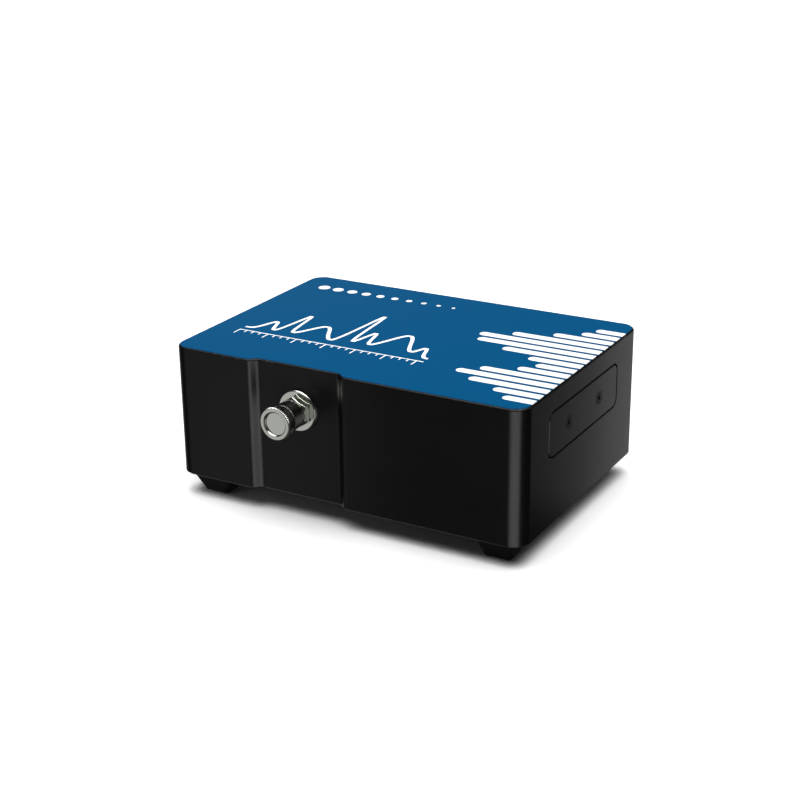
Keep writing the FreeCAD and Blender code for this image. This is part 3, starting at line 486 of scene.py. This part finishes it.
# %% [markdown]
# ## Cross-recess screws
#
# The two black screws in the plate are easy to miss and easy to get wrong. Each has a flat head
# with a very slight crown, a fine rounded rim, and a cross recess that narrows towards its
# floor. The head is turned, and the cross is a twelve-cornered outline carried inwards.

# %% Cross cutter and screw heads
def cross_outline(reach, half_width):
    """Twelve corners of a cross."""
    a, b = half_width, reach
    return np.array([(a, b), (-a, b), (-a, a), (-b, a), (-b, -a), (-a, -a),
                     (-a, -b), (a, -b), (a, -a), (b, -a), (b, a), (a, a)])


def cross_cutter(centre, radius, turn):
    """Cross turned by an angle that narrows with depth, cut into a screw head that faces right."""
    reach, half_width, depth, floor_share = 0.66 * radius, 0.13 * radius, 0.45 * radius, 0.6
    spin = np.array([[math.cos(turn), math.sin(turn)], [-math.sin(turn), math.cos(turn)]])
    rings = []
    for share, height in [(1.0, 0.1 * mm), (1.0, 0.0), (floor_share, -depth)]:
        shape = share * cross_outline(reach, half_width) @ spin
        rings.append(np.column_stack([np.full(len(shape), centre[0] + height), centre[1] + shape[:, 0],
                                      centre[2] + shape[:, 1]]))
    return closed_mesh("cross", rings)


head_drop = 0.02 * mm
head_top = wall_right - head_drop
rim_steps_mm = [(0.08, 0.12), (0.06, 0.05), (0.14, 0.01)]
head_profile = [(shank_radius, screw_low[0]), (shank_radius, wall_right - (head_radius - shank_radius))]
head_profile += [(head_radius - back * mm, head_top - down * mm) for back, down in rim_steps_mm]
head_profile.append((0.5 * head_radius, head_top))
cross_turns = (0.7, 0.9)
stand_ins = (["side_plate_screws"], [])
for letter, centre, turn, stands_for in zip("ab", screw_centres, cross_turns, stand_ins):
    screw = new_object("screw", side_disc("screw", centre, head_profile))
    cut_away(screw, [cross_cutter(centre - np.array([head_drop, 0, 0]), head_radius, turn)])
    finished("side_screw_" + letter, screw, "spectrometer", "black_screw", stands_for)

# %% [markdown]
# ## Fibre port
#
# The port's pieces are turned parts on one axis. Their surfaces are functions of the angle
# round that axis and the distance out from the recess floor. A washer is a closed profile
# turned round, a nut has a radius that follows a hexagon, and a thread's radius depends on the
# angle and the distance together, so its crest climbs as it goes round.

# %% Washer
def softened(corners, radius):
    """Closed profile whose corners are eased, each by a parabola between points at the radius from it."""
    corner = np.array(corners)
    before, after = np.roll(corner, 1, axis=0) - corner, np.roll(corner, -1, axis=0) - corner
    start = corner + before / np.linalg.norm(before, axis=1, keepdims=True) * radius
    end = corner + after / np.linalg.norm(after, axis=1, keepdims=True) * radius
    t = np.linspace(0, 1, 5)[:, None]
    curves = (1 - t) ** 2 * start[:, None] + 2 * t * (1 - t) * corner[:, None] + t ** 2 * end[:, None]
    return curves.reshape(-1, 2)


thread_radius, bore_gap = 3.175 * mm, 0.05 * mm
port_bore = thread_radius + bore_gap
washer_radius = (washer_high[0] - washer_low[0]) / 2
washer_out = recess_y - washer_low[1]
washer_chamfer = 0.3 * mm
washer_profile = softened([
    (port_bore, 0.0), (washer_radius, 0.0), (washer_radius, washer_out - washer_chamfer),
    (washer_radius - washer_chamfer, washer_out), (port_bore, washer_out)], 0.1 * mm)
washer = shaped("washer", about_port(*columns_of(washer_profile), turns(128)), close_rows=True, sharp=50)
finished("port_washer_ring", washer, "spectrometer", "nickel", ["port_washer"])

# %% Hexagon nut
nut_flats = 8.5 * mm
nut_angle = math.radians(33.0)
nut_chamfer = 0.3 * mm
nut_near, nut_far = recess_y - nut_high[1], recess_y - nut_low[1]


def nut_rings():
    """Rings of a hexagon whose corners are turned down by a 30-degree cone at both faces.

    The flat's distance is half the width over the cosine of the angle from its middle. The cone
    meets it where the radius exceeds the face circle, so the chamfer is deepest at the corners.
    """
    angle = nut_angle + turns(6 * 24)
    from_middle = np.mod(angle - nut_angle, math.pi / 3) - math.pi / 6
    across = nut_flats / 2 / np.cos(from_middle)
    face = 0.97 * nut_flats / 2
    drop = np.maximum(across - face, 0) * math.tan(math.radians(30))
    rows = [(port_bore, nut_near), (face, nut_near), (across, nut_near + drop), (across, nut_far - drop),
            (face, nut_far), (port_bore + nut_chamfer, nut_far), (port_bore, nut_far - nut_chamfer)]
    return np.concatenate([about_port(radius, out, angle) for radius, out in rows])


nut = shaped("nut", nut_rings(), close_rows=True, sharp=12)
rounded_nut = nut.modifiers.new("worn edges", "BEVEL")
rounded_nut.width = 0.08 * mm
rounded_nut.segments = 3
rounded_nut.angle_limit = math.radians(25)
finished("port_hex_nut", settled(nut), "spectrometer", "nickel", ["port_nut"])

# %% Threaded port behind the cap
pitch = 25.4 / 36 * mm
thread_depth = 0.38 * mm
tube_out = recess_y - connector_low[1]
tube_in = recess_y - connector_high[1]
tip_chamfer, bore_edge = 0.3 * mm, 0.15 * mm
thread_end = tube_out - tip_chamfer
bore_radius = 1.6 * mm
collar_radius = (connector_high[0] - connector_low[0]) / 2
collar_end = tube_in + 1.2 * mm
tube_columns = 96


def thread_rings(per_turn=14):
    """Rings of the thread: the groove's depth is a wave of the distance over the pitch plus the turn."""
    distance = np.arange(0.0, thread_end, pitch / per_turn)[:, None]
    angle = turns(tube_columns)
    phase = np.mod(distance / pitch + angle / (2 * math.pi), 1.0)
    groove = np.clip(1.15 - 2.6 * np.abs(phase - 0.5), 0, 1)
    fade = np.clip((thread_end - distance) / (0.5 * pitch), 0, 1)
    return about_port(thread_radius - thread_depth * groove * fade, distance, angle)


tube_start = [(bore_radius, tube_in), (collar_radius, tube_in), (collar_radius, collar_end),
              (thread_radius, collar_end)]
tube_end = [(thread_radius, thread_end), (thread_radius - tip_chamfer, tube_out),
            (bore_radius + bore_edge, tube_out), (bore_radius, tube_out - bore_edge)]
tube_rings = np.concatenate([about_port(*columns_of(tube_start), turns(tube_columns)), thread_rings(),
                             about_port(*columns_of(tube_end), turns(tube_columns))])
tube = shaped("tube", tube_rings, close_rows=True, sharp=50)
finished("port_threaded_tube", tube, "spectrometer", "nickel", ["port_connector"])

# %% [markdown]
# ## Dust cap
#
# The cap is a bright sleeve with a band of fine straight ridges, closed by a disc whose rim is
# milled like a coin's. Both kinds of ridge are a triangle wave of the angle that is added to the
# radius. The disc's face has a shallow round recess with a soft step, which gives the bright
# crescent in the photograph.

# %% Sleeve with its ridged band
barrel_out = recess_y - barrel_high[1]
barrel_end = recess_y - barrel_low[1]
barrel_radius = 4.25 * mm
cap_bore = thread_radius + 0.08 * mm
cap_ridges = 60
ridge_height = 0.1 * mm
band_length = 2.5 * mm
shoulder = 0.35 * mm
mouth_edge = 0.2 * mm


def ridged(rows):
    """Rings round the port axis. A row's last number is its share of a triangle wave of ridges."""
    angle = turns(cap_ridges * 8)
    wave = 1 - 4 * np.abs(np.mod(angle * cap_ridges / (2 * math.pi), 1.0) - 0.5)
    radius, out, share = columns_of(rows)
    return about_port(radius + ridge_height * share * wave, out, angle)


band_end = barrel_end - shoulder
band_start = band_end - band_length
sleeve_rows = [
    (cap_bore, barrel_end, 0), (cap_bore, barrel_out + mouth_edge, 0),
    (cap_bore + mouth_edge, barrel_out, 0), (barrel_radius - mouth_edge, barrel_out, 0),
    (barrel_radius - 0.06 * mm, barrel_out + 0.05 * mm, 0),
    (barrel_radius, barrel_out + mouth_edge, 0), (barrel_radius, band_start, 0),
    (barrel_radius, band_start + 0.15 * mm, 1), (barrel_radius, band_end - 0.1 * mm, 1),
    (barrel_radius - 0.15 * mm, band_end, 0), (barrel_radius - shoulder, band_end + 0.05 * mm, 0),
    (barrel_radius - shoulder, barrel_end, 0)]
sleeve = shaped("sleeve", ridged(sleeve_rows), close_rows=True, sharp=35)
finished("cap_sleeve", sleeve, "dust_cap", "nickel", ["cap_barrel"])

# %% End disc with a milled rim
disc_start = barrel_end
disc_end = recess_y - disc_low[1]
disc_radius = (disc_high[0] - disc_low[0]) / 2
rim = disc_radius - ridge_height
spigot_radius, spigot_length = cap_bore - 0.02 * mm, 0.5 * mm
step_mm = [(3.7, 0), (3.6, 0.03), (3.54, 0.1), (3.5, 0.26), (3.42, 0.4), (3.28, 0.51), (3.08, 0.57),
           (2.85, 0.58), (0, 0.58)]

disc_rows = [
    (0, disc_start - spigot_length, 0), (spigot_radius, disc_start - spigot_length, 0),
    (spigot_radius, disc_start, 0), (rim - 0.3 * mm, disc_start, 0),
    (rim - 0.08 * mm, disc_start + 0.08 * mm, 0.5), (rim, disc_start + 0.25 * mm, 1),
    (rim, disc_end - 0.28 * mm, 1), (rim - 0.07 * mm, disc_end - 0.1 * mm, 0.5),
    (rim - 0.22 * mm, disc_end - 0.01 * mm, 0), (rim - 0.34 * mm, disc_end, 0)]
disc_rows += [(radius * mm, disc_end - depth * mm, 0) for radius, depth in step_mm]
disc = shaped("disc", ridged(disc_rows), sharp=50)
finished("cap_disc", disc, "dust_cap", "nickel", ["cap_end_disc"])

# %% [markdown]
# ## Feet
#
# Each foot is moulded rubber: a square block that narrows downwards, with soft edges at its tip
# and a screw pocket below. It is a loft between two rounded rectangles. Rings run from the
# pocket's floor out over the tip, up the sloping sides, across the top and back down the screw
# hole, so one grid closes on itself.

# %% A foot as one closed loft
tip_length, tip_depth, top_size = 8.2 * mm, 6.2 * mm, 12.6 * mm
foot_corner, tip_edge, top_edge = 1.2 * mm, 0.7 * mm, 0.3 * mm
pocket_radius, pocket_depth, pocket_rim = 2.15 * mm, 3.0 * mm, 0.1 * mm
foot_hole = 1.3 * mm


def foot_mesh(node):
    """Foot between the rounded rectangles of its tip and its top, with its pocket and screw hole.

    At each height the side is a mix of the tip's and the top's outline by the share of the height.
    """
    low, high = box_of(node)
    x, y = ((low + high) / 2)[from_above]
    tip, tip_normals = rectangle(0, 0, tip_length, tip_depth, foot_corner)
    top, _ = rectangle(0, 0, top_size, top_size, foot_corner)
    around = np.arctan2(tip[:, 1], tip[:, 0])
    circle = np.column_stack([np.cos(around), np.sin(around)])

    def side(height):
        share = height / high[2]
        return (1 - share) * tip + share * top

    rows = [(circle * foot_hole, pocket_depth), (circle * pocket_radius, pocket_depth),
            (circle * pocket_radius, pocket_rim), (circle * (pocket_radius + pocket_rim), 0.0)]
    for angle in np.linspace(0, math.pi / 2, 6):
        height = tip_edge * (1 - math.cos(angle))
        rows.append((side(height) - tip_normals * tip_edge * (1 - math.sin(angle)), height))
    rows += [(side(high[2] - top_edge), high[2] - top_edge), (side(high[2]) * 0.985, high[2]),
             (circle * foot_hole, high[2])]
    rings = [np.column_stack([x + flat[:, 0], y + flat[:, 1], np.full(len(flat), level)])
             for flat, level in rows]
    return closed_mesh(node, rings, close_rows=True, sharp=50)


for place in foot_places:
    foot = new_object("foot", foot_mesh("foot_" + place))
    finished("rubber_foot_" + place, foot, "spectrometer", "rubber", ["foot_" + place])

# %% [markdown]
# ## Shader helpers
#
# A finish is a small network of nodes. These helpers add a node with its settings, write sums of
# node values as plain formulas, and give the position on the piece in millimetres, so patterns
# keep their real size. Each finish is kept under the material slot that it is made for.

# %% Nodes, formulas and positions
finishes = {}


def node(tree, kind, inputs=None, **settings):
    """Adds a node. Inputs map a socket's name or number to a value, a formula or a node's output."""
    made = tree.nodes.new(kind)
    for key, value in settings.items():
        setattr(made, key, value)
    for key, value in (inputs or {}).items():
        value = getattr(value, "socket", value)
        if isinstance(value, bpy.types.NodeSocket):
            tree.links.new(value, made.inputs[key])
        else:
            made.inputs[key].default_value = value
    return made


class Formula:
    """A value in a node tree. Each operator on it adds one arithmetic node."""

    def __init__(self, socket):
        self.socket = socket

    def step(self, operation, *others):
        """One arithmetic node on this value and on other formulas, outputs or numbers."""
        values = dict(enumerate([self.socket, *others]))
        return Formula(node(self.socket.id_data, "ShaderNodeMath", values, operation=operation).outputs[0])

    def __add__(self, other):
        return self.step("ADD", other)

    def __sub__(self, other):
        return self.step("SUBTRACT", other)

    def __rsub__(self, number):
        return self * -1.0 + number

    def __mul__(self, other):
        return self.step("MULTIPLY", other)

    def __truediv__(self, other):
        return self.step("DIVIDE", other)

    def __lt__(self, other):
        return self.step("LESS_THAN", other)

    def __gt__(self, other):
        return self.step("GREATER_THAN", other)


def place_in_mm(tree):
    """Position on the piece in millimetres."""
    where = node(tree, "ShaderNodeTexCoord").outputs["Object"]
    return node(tree, "ShaderNodeVectorMath", {0: where, "Scale": 1 / mm}, operation="SCALE").outputs[0]


def axes_in_mm(tree):
    """Formulas of the three parts of that position."""
    parts = node(tree, "ShaderNodeSeparateXYZ", {0: place_in_mm(tree)}).outputs
    return [Formula(part) for part in parts]


def new_finish(name, colour, metallic=0.0, roughness=0.5, specular=0.5):
    """Material with a principled shader. Returns the material, its tree and the shader."""
    material = bpy.data.materials.new(name)
    material.use_nodes = True
    shader = material.node_tree.nodes["Principled BSDF"]
    shader.inputs["Base Color"].default_value = (*colour, 1.0)
    shader.inputs["Metallic"].default_value = metallic
    shader.inputs["Roughness"].default_value = roughness
    shader.inputs["Specular IOR Level"].default_value = specular
    return material, material.node_tree, shader


def feed(shader, **outputs):
    """Links outputs to the shader's inputs that have the same names."""
    for name, output in outputs.items():
        shader.id_data.links.new(output, shader.inputs[name.replace("_", " ").title()])


def grain(tree, size, detail=3.0):
    """Noise between 0 and 1 with grains of about the given size in millimetres."""
    return node(tree, "ShaderNodeTexNoise", {"Vector": place_in_mm(tree), "Scale": 1 / size,
                                             "Detail": detail, "Roughness": 0.6}).outputs["Fac"]


def spread(tree, value, low, high, start=0.0, end=1.0, curve="LINEAR"):
    """Carries the range from start to end over to the range from low to high, and holds its ends."""
    return node(tree, "ShaderNodeMapRange", {"Value": value, "From Min": start, "From Max": end,
                                             "To Min": low, "To Max": high},
                interpolation_type=curve).outputs[0]


def relief(tree, height, depth_mm):
    """Normal that follows a height of the given depth in millimetres."""
    return node(tree, "ShaderNodeBump", {"Height": height, "Distance": depth_mm * mm,
                                         "Strength": 1.0}).outputs[0]


def scaled(colour, share):
    """Colour made darker or lighter."""
    return [share * value for value in colour]


def tinted(tree, value, dark, light):
    """Mix of two by a 0 to 1 value. Each is a colour or another node's output."""
    ends = [end if isinstance(end, bpy.types.NodeSocket) else (*end, 1.0) for end in (dark, light)]
    return node(tree, "ShaderNodeMix", {0: value, 6: ends[0], 7: ends[1]}, data_type="RGBA").outputs[2]


# %% [markdown]
# ## Black anodising
#
# The housing was blasted with fine beads, then anodised black. That gives a satin skin: it
# mirrors nothing sharply but shows long soft bands of light on every curve. The finish is a near
# black with a fine blasted relief of a few thousandths of a millimetre, and a roughness that
# drifts slightly over the faces as handled metal does.

# %% Anodised housing finish
def blasted_black(name, colour, roughness, specular):
    """Near-black satin whose gloss drifts slowly, with a fine blasted relief."""
    material, tree, shader = new_finish(name, colour, roughness=roughness, specular=specular)
    drift = grain(tree, 14.0, detail=2.0)
    speckle = grain(tree, 0.35, detail=4.0)
    feed(shader, roughness=spread(tree, drift, roughness - 0.04, roughness + 0.05),
         base_color=tinted(tree, speckle, scaled(colour, 0.75), scaled(colour, 1.3)),
         normal=relief(tree, grain(tree, 0.16, detail=2.0), 0.003))
    return material


def rim_wear(material, rim_mm, band_mm):
    """Thins the colour in spots along the top rim: a band below the rim's height, broken by noise."""
    tree = material.node_tree
    shader = tree.nodes["Principled BSDF"]
    colour = shader.inputs["Base Color"].links[0].from_socket
    _, _, height = axes_in_mm(tree)
    band = spread(tree, height, 0.0, 1.0, rim_mm - band_mm, rim_mm)
    spots = spread(tree, grain(tree, 1.1, detail=5.0), 0.0, 1.0, 0.56, 0.7)
    bare = (0.05, 0.05, 0.052)
    feed(shader, base_color=tinted(tree, Formula(band) * spots, colour, bare))


finishes["housing_black"] = blasted_black("anodised_black", (0.0012, 0.0012, 0.0013), 0.33, 0.2)
rim_wear(finishes["housing_black"], wall_top / mm, top_rounding / mm)
finishes["bench_black"] = blasted_black("bench_black", (0.02, 0.02, 0.022), 0.55, 0.35)
print("black finishes made")

# %% [markdown]
# ## Print on the film
#
# The film is printed in blue with white marks. The marks here are plain instrument graphics: a
# block of bars that runs in from the right edge, a spectrum line over a ruled scale, and a row of
# dots. They could be painted as an image, but an image has a fixed sharpness. Here each mark is a
# formula of the position in millimetres, so its edge stays crisp at any distance. A bar is every
# point closer to a line than half the bar's width. The spectrum line is a sum of bell curves,
# taken at three places side by side. All that lies between the lowest and the highest of them is
# white, so the line keeps its width on steep flanks and its peaks end round.

# %% Marks of the print as formulas
def within(value, low, high):
    """1 where a value lies between two limits, 0 elsewhere."""
    return (value > low) * (value < high)


def length(across, along):
    """Length of the vector with these two parts: the root of the sum of their squares."""
    return (across * across + along * along).step("SQRT")


def bells(x, humps):
    """Sum of bell curves of x, each its height times e to minus the square of offset over width."""
    curves = []
    for centre, width, height in humps:
        offset = (x - centre) / width
        curves.append((offset * offset * -1.0).step("EXPONENT") * height)
    return sum(curves[1:], curves[0])


def stretch_of(value, start, pitch_mm):
    """Number and middle of the equal stretch that a value lies in, counted from the start."""
    number = ((value - start) / pitch_mm).step("FLOOR")
    return number, (number + 0.5) * pitch_mm + start


def near_whole(value, reach):
    """1 where a value is within reach of a whole number."""
    return (value - value.step("ROUND")).step("ABSOLUTE") < reach


def bar_marks(x, y):
    """Bars from the right edge, one every 4.4 mm, each as long as two bell curves of its place."""
    pitch_mm, half_width, first, last, edge = 4.4, 1.5, -29.6, 36.4, 49.5
    _, middle = stretch_of(y, first, pitch_mm)
    reach = bells(middle, [(-14.0, 8.0, 22.0), (15.0, 10.0, 31.0)])
    beyond = (edge - reach - x).step("MAXIMUM", 0.0)
    return (length(beyond, y - middle) < half_width) * within(y, first, last)


def scale_marks(x, y):
    """Thin rule with a tick every 2.5 mm on its front side, every fourth one longer."""
    rule_y, rule_width, start, end, margin = -13.0, 0.45, -47.0, 15.0, 0.2
    below = rule_y - y
    tick = (x - start) / 2.5
    reach = near_whole(tick / 4.0, 0.03) * 1.8 + 1.9
    ticks = near_whole(tick, 0.08) * within(below, 0.0, reach)
    rule = within(below, 0.0, rule_width)
    return rule.step("MAXIMUM", ticks) * within(x, start - margin, end + margin)


def spectrum_mark(x, y):
    """Spectrum line over the rule: all between the lowest and highest of three close sums of bells."""
    peaks = [(-41.0, 2.2, 8.0), (-34.5, 1.7, 17.0), (-25.0, 4.5, 11.0), (-14.5, 1.7, 27.0),
             (-9.0, 1.9, 12.0), (1.0, 5.0, 15.0), (10.5, 1.8, 7.0)]
    half_width, foot_y, start, end = 0.42, -10.5, -47.0, 15.0
    left, middle, right = [bells(x + shift, peaks) for shift in (-half_width, 0.0, half_width)]
    highest = left.step("MAXIMUM", middle).step("MAXIMUM", right)
    lowest = left.step("MINIMUM", middle).step("MINIMUM", right)
    above = y > lowest + (foot_y - half_width)
    below = y < highest + (foot_y + half_width)
    return above * below * within(x, start, end)


def dot_marks(x, y):
    """Row of dots along the rear, whose radii shrink from left to right."""
    pitch_mm, row_y, start, end = 5.2, 34.0, -49.6, 2.4
    number, middle = stretch_of(x, start, pitch_mm)
    radius = 1.9 - number * 0.15
    return (length(x - middle, y - row_y) < radius) * within(x, start, end)


# %% Film finish
def printed_blue():
    """Blue film with white marks, and a faint orange-peel relief under a silky gloss."""
    base = (0.0006, 0.061, 0.158)
    material, tree, shader = new_finish("printed_blue", base, roughness=0.24, specular=0.05)
    x, y, _ = axes_in_mm(tree)
    marks = bar_marks(x, y)
    for mark in (scale_marks(x, y), spectrum_mark(x, y), dot_marks(x, y)):
        marks = marks.step("MAXIMUM", mark)
    fleck = grain(tree, 0.25)
    blue = tinted(tree, fleck, (0.0005, 0.058, 0.152), (0.0007, 0.064, 0.164))
    white = (0.86, 0.87, 0.88)
    feed(shader, base_color=tinted(tree, marks, blue, white),
         normal=relief(tree, grain(tree, 0.5, detail=2.0), 0.0015))
    return material


finishes["label_print"] = printed_blue()
print("film finish has", len(finishes["label_print"].node_tree.nodes), "nodes")

# %% [markdown]
# ## Bright and dark metals
#
# The port and the cap are nickel plated: a warm, slightly grey mirror. Handling leaves faint
# smears on it, so its gloss varies in soft clouds. The small screws are either dull black oxide
# or plain zinc, and contacts are plated with gold or tin.

# %% Plated and oxide finishes
def plated(name, colour, roughness, smear=0.05, metallic=1.0, specular=0.5):
    """Plated metal whose gloss is slightly uneven."""
    material, tree, shader = new_finish(name, colour, metallic, roughness, specular)
    cloud = grain(tree, 1.6, detail=4.0)
    feed(shader, roughness=spread(tree, cloud, roughness - smear, roughness + smear),
         base_color=tinted(tree, cloud, scaled(colour, 0.93), colour),
         normal=relief(tree, grain(tree, 0.08, detail=2.0), 0.0004))
    return material


finishes["nickel"] = plated("bright_nickel", (0.68, 0.7, 0.64), 0.14)
finishes["steel_screw"] = plated("zinc_plate", (0.62, 0.63, 0.64), 0.28)
finishes["plated_steel"] = plated("tin_plate", (0.66, 0.66, 0.64), 0.3)
finishes["contact_gold"] = plated("contact_gold", (0.85, 0.62, 0.26), 0.22)
finishes["pillar_metal"] = plated("pillar_plate", (0.74, 0.7, 0.6), 0.25)
finishes["slit_foil"] = plated("slit_foil", (0.3, 0.3, 0.3), 0.35)
finishes["black_screw"] = plated("black_oxide", (0.004, 0.004, 0.0045), 0.42, metallic=0.0, specular=0.12)
finishes["mirror_coat"] = plated("mirror_coat", (0.91, 0.92, 0.93), 0.03, smear=0.01)
finishes["silicon"] = plated("silicon", (0.1, 0.11, 0.15), 0.12, metallic=0.6)
print(len(finishes), "finishes so far")

# %% [markdown]
# ## Rubber, boards, glass and mouldings
#
# The feet are matt rubber with a faint moulded texture. Inside, the circuit boards carry a green
# mask over fine tracks, the chips are dull moulded plastic, and the optics are clear or coated
# glass. These pieces show only when the housing is opened, but each still has its own finish.

# %% Matt mouldings and rubber
def moulded(name, colour, roughness, grain_mm=0.2, depth_mm=0.006, specular=0.4):
    """Moulded surface with a fine even texture."""
    material, tree, shader = new_finish(name, colour, roughness=roughness, specular=specular)
    texture = grain(tree, grain_mm)
    feed(shader, base_color=tinted(tree, texture, scaled(colour, 0.8), scaled(colour, 1.15)),
         roughness=spread(tree, texture, roughness - 0.05, roughness + 0.05),
         normal=relief(tree, texture, depth_mm))
    return material


finishes["rubber"] = moulded("matt_rubber", (0.005, 0.005, 0.005), 0.6, grain_mm=0.3, depth_mm=0.01,
                             specular=0.25)
finishes["chip_black"] = moulded("chip_moulding", (0.025, 0.025, 0.027), 0.6)
finishes["ceramic"] = moulded("dark_ceramic", (0.16, 0.13, 0.12), 0.5)
finishes["capacitor_tan"] = moulded("capacitor_tan", (0.42, 0.3, 0.17), 0.4)


# %% Circuit boards with tracks
def board_finish():
    """Green mask over tracks, which are the borders of large cells, and small round vias."""
    material, tree, shader = new_finish("board_green", (0.01, 0.12, 0.05), roughness=0.32)
    where = place_in_mm(tree)
    cells = node(tree, "ShaderNodeTexVoronoi", {"Vector": where, "Scale": 0.3}, feature="DISTANCE_TO_EDGE")
    track = Formula(cells.outputs["Distance"]) < 0.045
    dots = node(tree, "ShaderNodeTexVoronoi", {"Vector": where, "Scale": 0.25}, feature="F1")
    via = Formula(dots.outputs["Distance"]) < 0.1
    green = tinted(tree, track, (0.006, 0.085, 0.035), (0.02, 0.17, 0.07))
    feed(shader, base_color=tinted(tree, via, green, (0.6, 0.55, 0.4)), normal=relief(tree, track, 0.02))
    return material


finishes["board_green"] = board_finish()


# %% Glass and grating
def clear_glass(name, colour):
    """Clear glass with a faint coating tint."""
    material, tree, shader = new_finish(name, colour, roughness=0.02)
    shader.inputs["Transmission Weight"].default_value = 1.0
    shader.inputs["IOR"].default_value = 1.52
    feed(shader, roughness=spread(tree, grain(tree, 5.0), 0.01, 0.03))
    return material


def ruled_grating():
    """Mirror with painted diffraction colours: rainbow bands of painted reflection along its face, where
    the fraction of the place over 11 mm picks the colour.
    """
    material, tree, shader = new_finish("ruled_grating", (0.75, 0.75, 0.8), metallic=1.0, roughness=0.2)
    x, _, _ = axes_in_mm(tree)
    # The colour ramp paints the rainbow a grating reflects into its base colour, as bands every 11 mm:
    # painted reflection, not a tint of the metal.
    painted_diffraction_colours = node(tree, "ShaderNodeValToRGB", {0: (x * 0.09).step("FRACT")})
    ramp = painted_diffraction_colours.color_ramp
    ramp.elements[0].color = (0.55, 0.5, 0.85, 1.0)
    ramp.elements[1].color = (0.85, 0.6, 0.5, 1.0)
    ramp.elements.new(0.5).color = (0.55, 0.85, 0.6, 1.0)
    feed(shader, base_color=painted_diffraction_colours.outputs[0])
    return material


finishes["clear_glass"] = clear_glass("optical_glass", (0.95, 0.98, 0.97))
finishes["filter_glass"] = clear_glass("filter_glass", (0.95, 0.72, 0.3))
finishes["grating_glass"] = ruled_grating()
print(len(finishes), "finishes in all")

# %% [markdown]
# ## Giving out the finishes
#
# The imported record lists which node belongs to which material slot. Each slot gets one finish,
# and each new piece takes the finish of the slot it was given above. A CAD node's mesh stays as
# it is, and only its material changes.

# %% Finishes by slot
def dress(thing, material):
    """Gives every face of an object one material."""
    thing.data.materials.clear()
    thing.data.materials.append(material)


for part in frame["record"]["subparts"]:
    dress(frame["nodes"][part["node"]], finishes[part["material_slot"]])

for piece in pieces:
    dress(piece, finishes[piece["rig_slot"]])

# %% [markdown]
# ## Floor and light
#
# The instrument stands on plain white under a broad overhead light, with dark surroundings at
# the sides. That is how black satin pieces are usually pictured, because a white room would turn
# them grey. A wide softbox at the front right draws the upright bands on the corner and on the
# ramp. It is strong, so it lights the housing and the side cover only, and a weak one in the same
# place lights all. Two small softboxes stand near the left of the front and the rear of the side,
# where these faces mirror them. Seen from a little above, a wall mirrors what lies below the
# floor's level, so the softboxes reach below it, and the floor lets gloss and shadow rays through.

# %% Floor
floor_mesh = bpy.data.meshes.new("floor")
reach = 6.0
floor_mesh.from_pydata([(-reach, -reach, 0), (reach, -reach, 0), (reach, reach, 0), (-reach, reach, 0)],
                       [], [(0, 1, 2, 3)])
floor = new_object("floor", floor_mesh)
floor_mesh.materials.append(new_finish("pale_floor", (0.93, 0.93, 0.93), roughness=0.8, specular=0.1)[0])
floor.visible_glossy = False
floor.visible_shadow = False


# %% Softboxes
def softbox(name, place, toward, size, brightness, lit=()):
    """Area light of a given brightness that looks toward a point.

    Its power is the brightness times pi times its area. With pieces in lit, it lights only those.
    """
    data = bpy.data.lights.new(name, "AREA")
    data.shape = "RECTANGLE"
    data.size, data.size_y = size
    data.energy = brightness * math.pi * size[0] * size[1]
    lamp = new_object(name, data)
    lamp.location = place
    sight = mathutils.Vector(toward) - mathutils.Vector(place)
    lamp.rotation_euler = sight.to_track_quat("-Z", "Y").to_euler()
    lamp.visible_camera = False
    if lit:
        group = bpy.data.collections.new(name + "_lights")
        for piece in lit:
            group.objects.link(piece)
        lamp.light_linking.receiver_collection = group
    return lamp


front_right = ((0.23, -0.39, -0.15), (0.02, -0.03, -0.15), (0.48, 0.34))
softboxes = [
    softbox("band_softbox", *front_right, 4.3, [housing, plate]),
    softbox("fill_softbox", *front_right, 0.35),
    softbox("front_softbox", (-0.079, -0.105, -0.005), (-0.02, -0.025, -0.005), (0.07, 0.12), 0.53),
    softbox("side_softbox", (0.069, 0.09, 0.003), (0.06, 0.03, 0.003), (0.03, 0.09), 0.9),
]
print(len(softboxes), "softboxes stand round the instrument")


# %% Surrounding
def surrounding(name, cap, ring, ground, rear):
    """White backdrop that lights by a bright cap overhead, a dim ring and a faint glow at the rear left.

    Each part rises smoothly with the height of a direction, or with its likeness to the rear left.
    """
    made = bpy.data.worlds.new(name)
    made.use_nodes = True
    tree = made.node_tree
    direction = node(tree, "ShaderNodeTexCoord").outputs["Generated"]
    up = node(tree, "ShaderNodeSeparateXYZ", {0: direction}).outputs[2]
    likeness = node(tree, "ShaderNodeVectorMath", {0: direction, 1: (-0.66, 0.66, -0.36)},
                    operation="DOT_PRODUCT").outputs["Value"]
    strength = Formula(spread(tree, up, 0.0, cap, 0.7, 0.95, "SMOOTHSTEP"))
    for part in (spread(tree, up, 0.0, ring, -0.05, 0.1, "SMOOTHSTEP"),
                 spread(tree, likeness, 0.0, rear, 0.75, 0.95, "SMOOTHSTEP"), ground):
        strength = strength + part
    backdrop = node(tree, "ShaderNodeLightPath").outputs["Is Camera Ray"]
    background = tree.nodes["Background"]
    background.inputs["Color"].default_value = (1, 1, 1, 1)
    tree.links.new(strength.step("MAXIMUM", backdrop).socket, background.inputs["Strength"])
    return made


bpy.context.scene.world = surrounding("studio", 5.2, 0.02, 0.02, 0.5)
bpy.context.scene.view_settings.view_transform = "Standard"
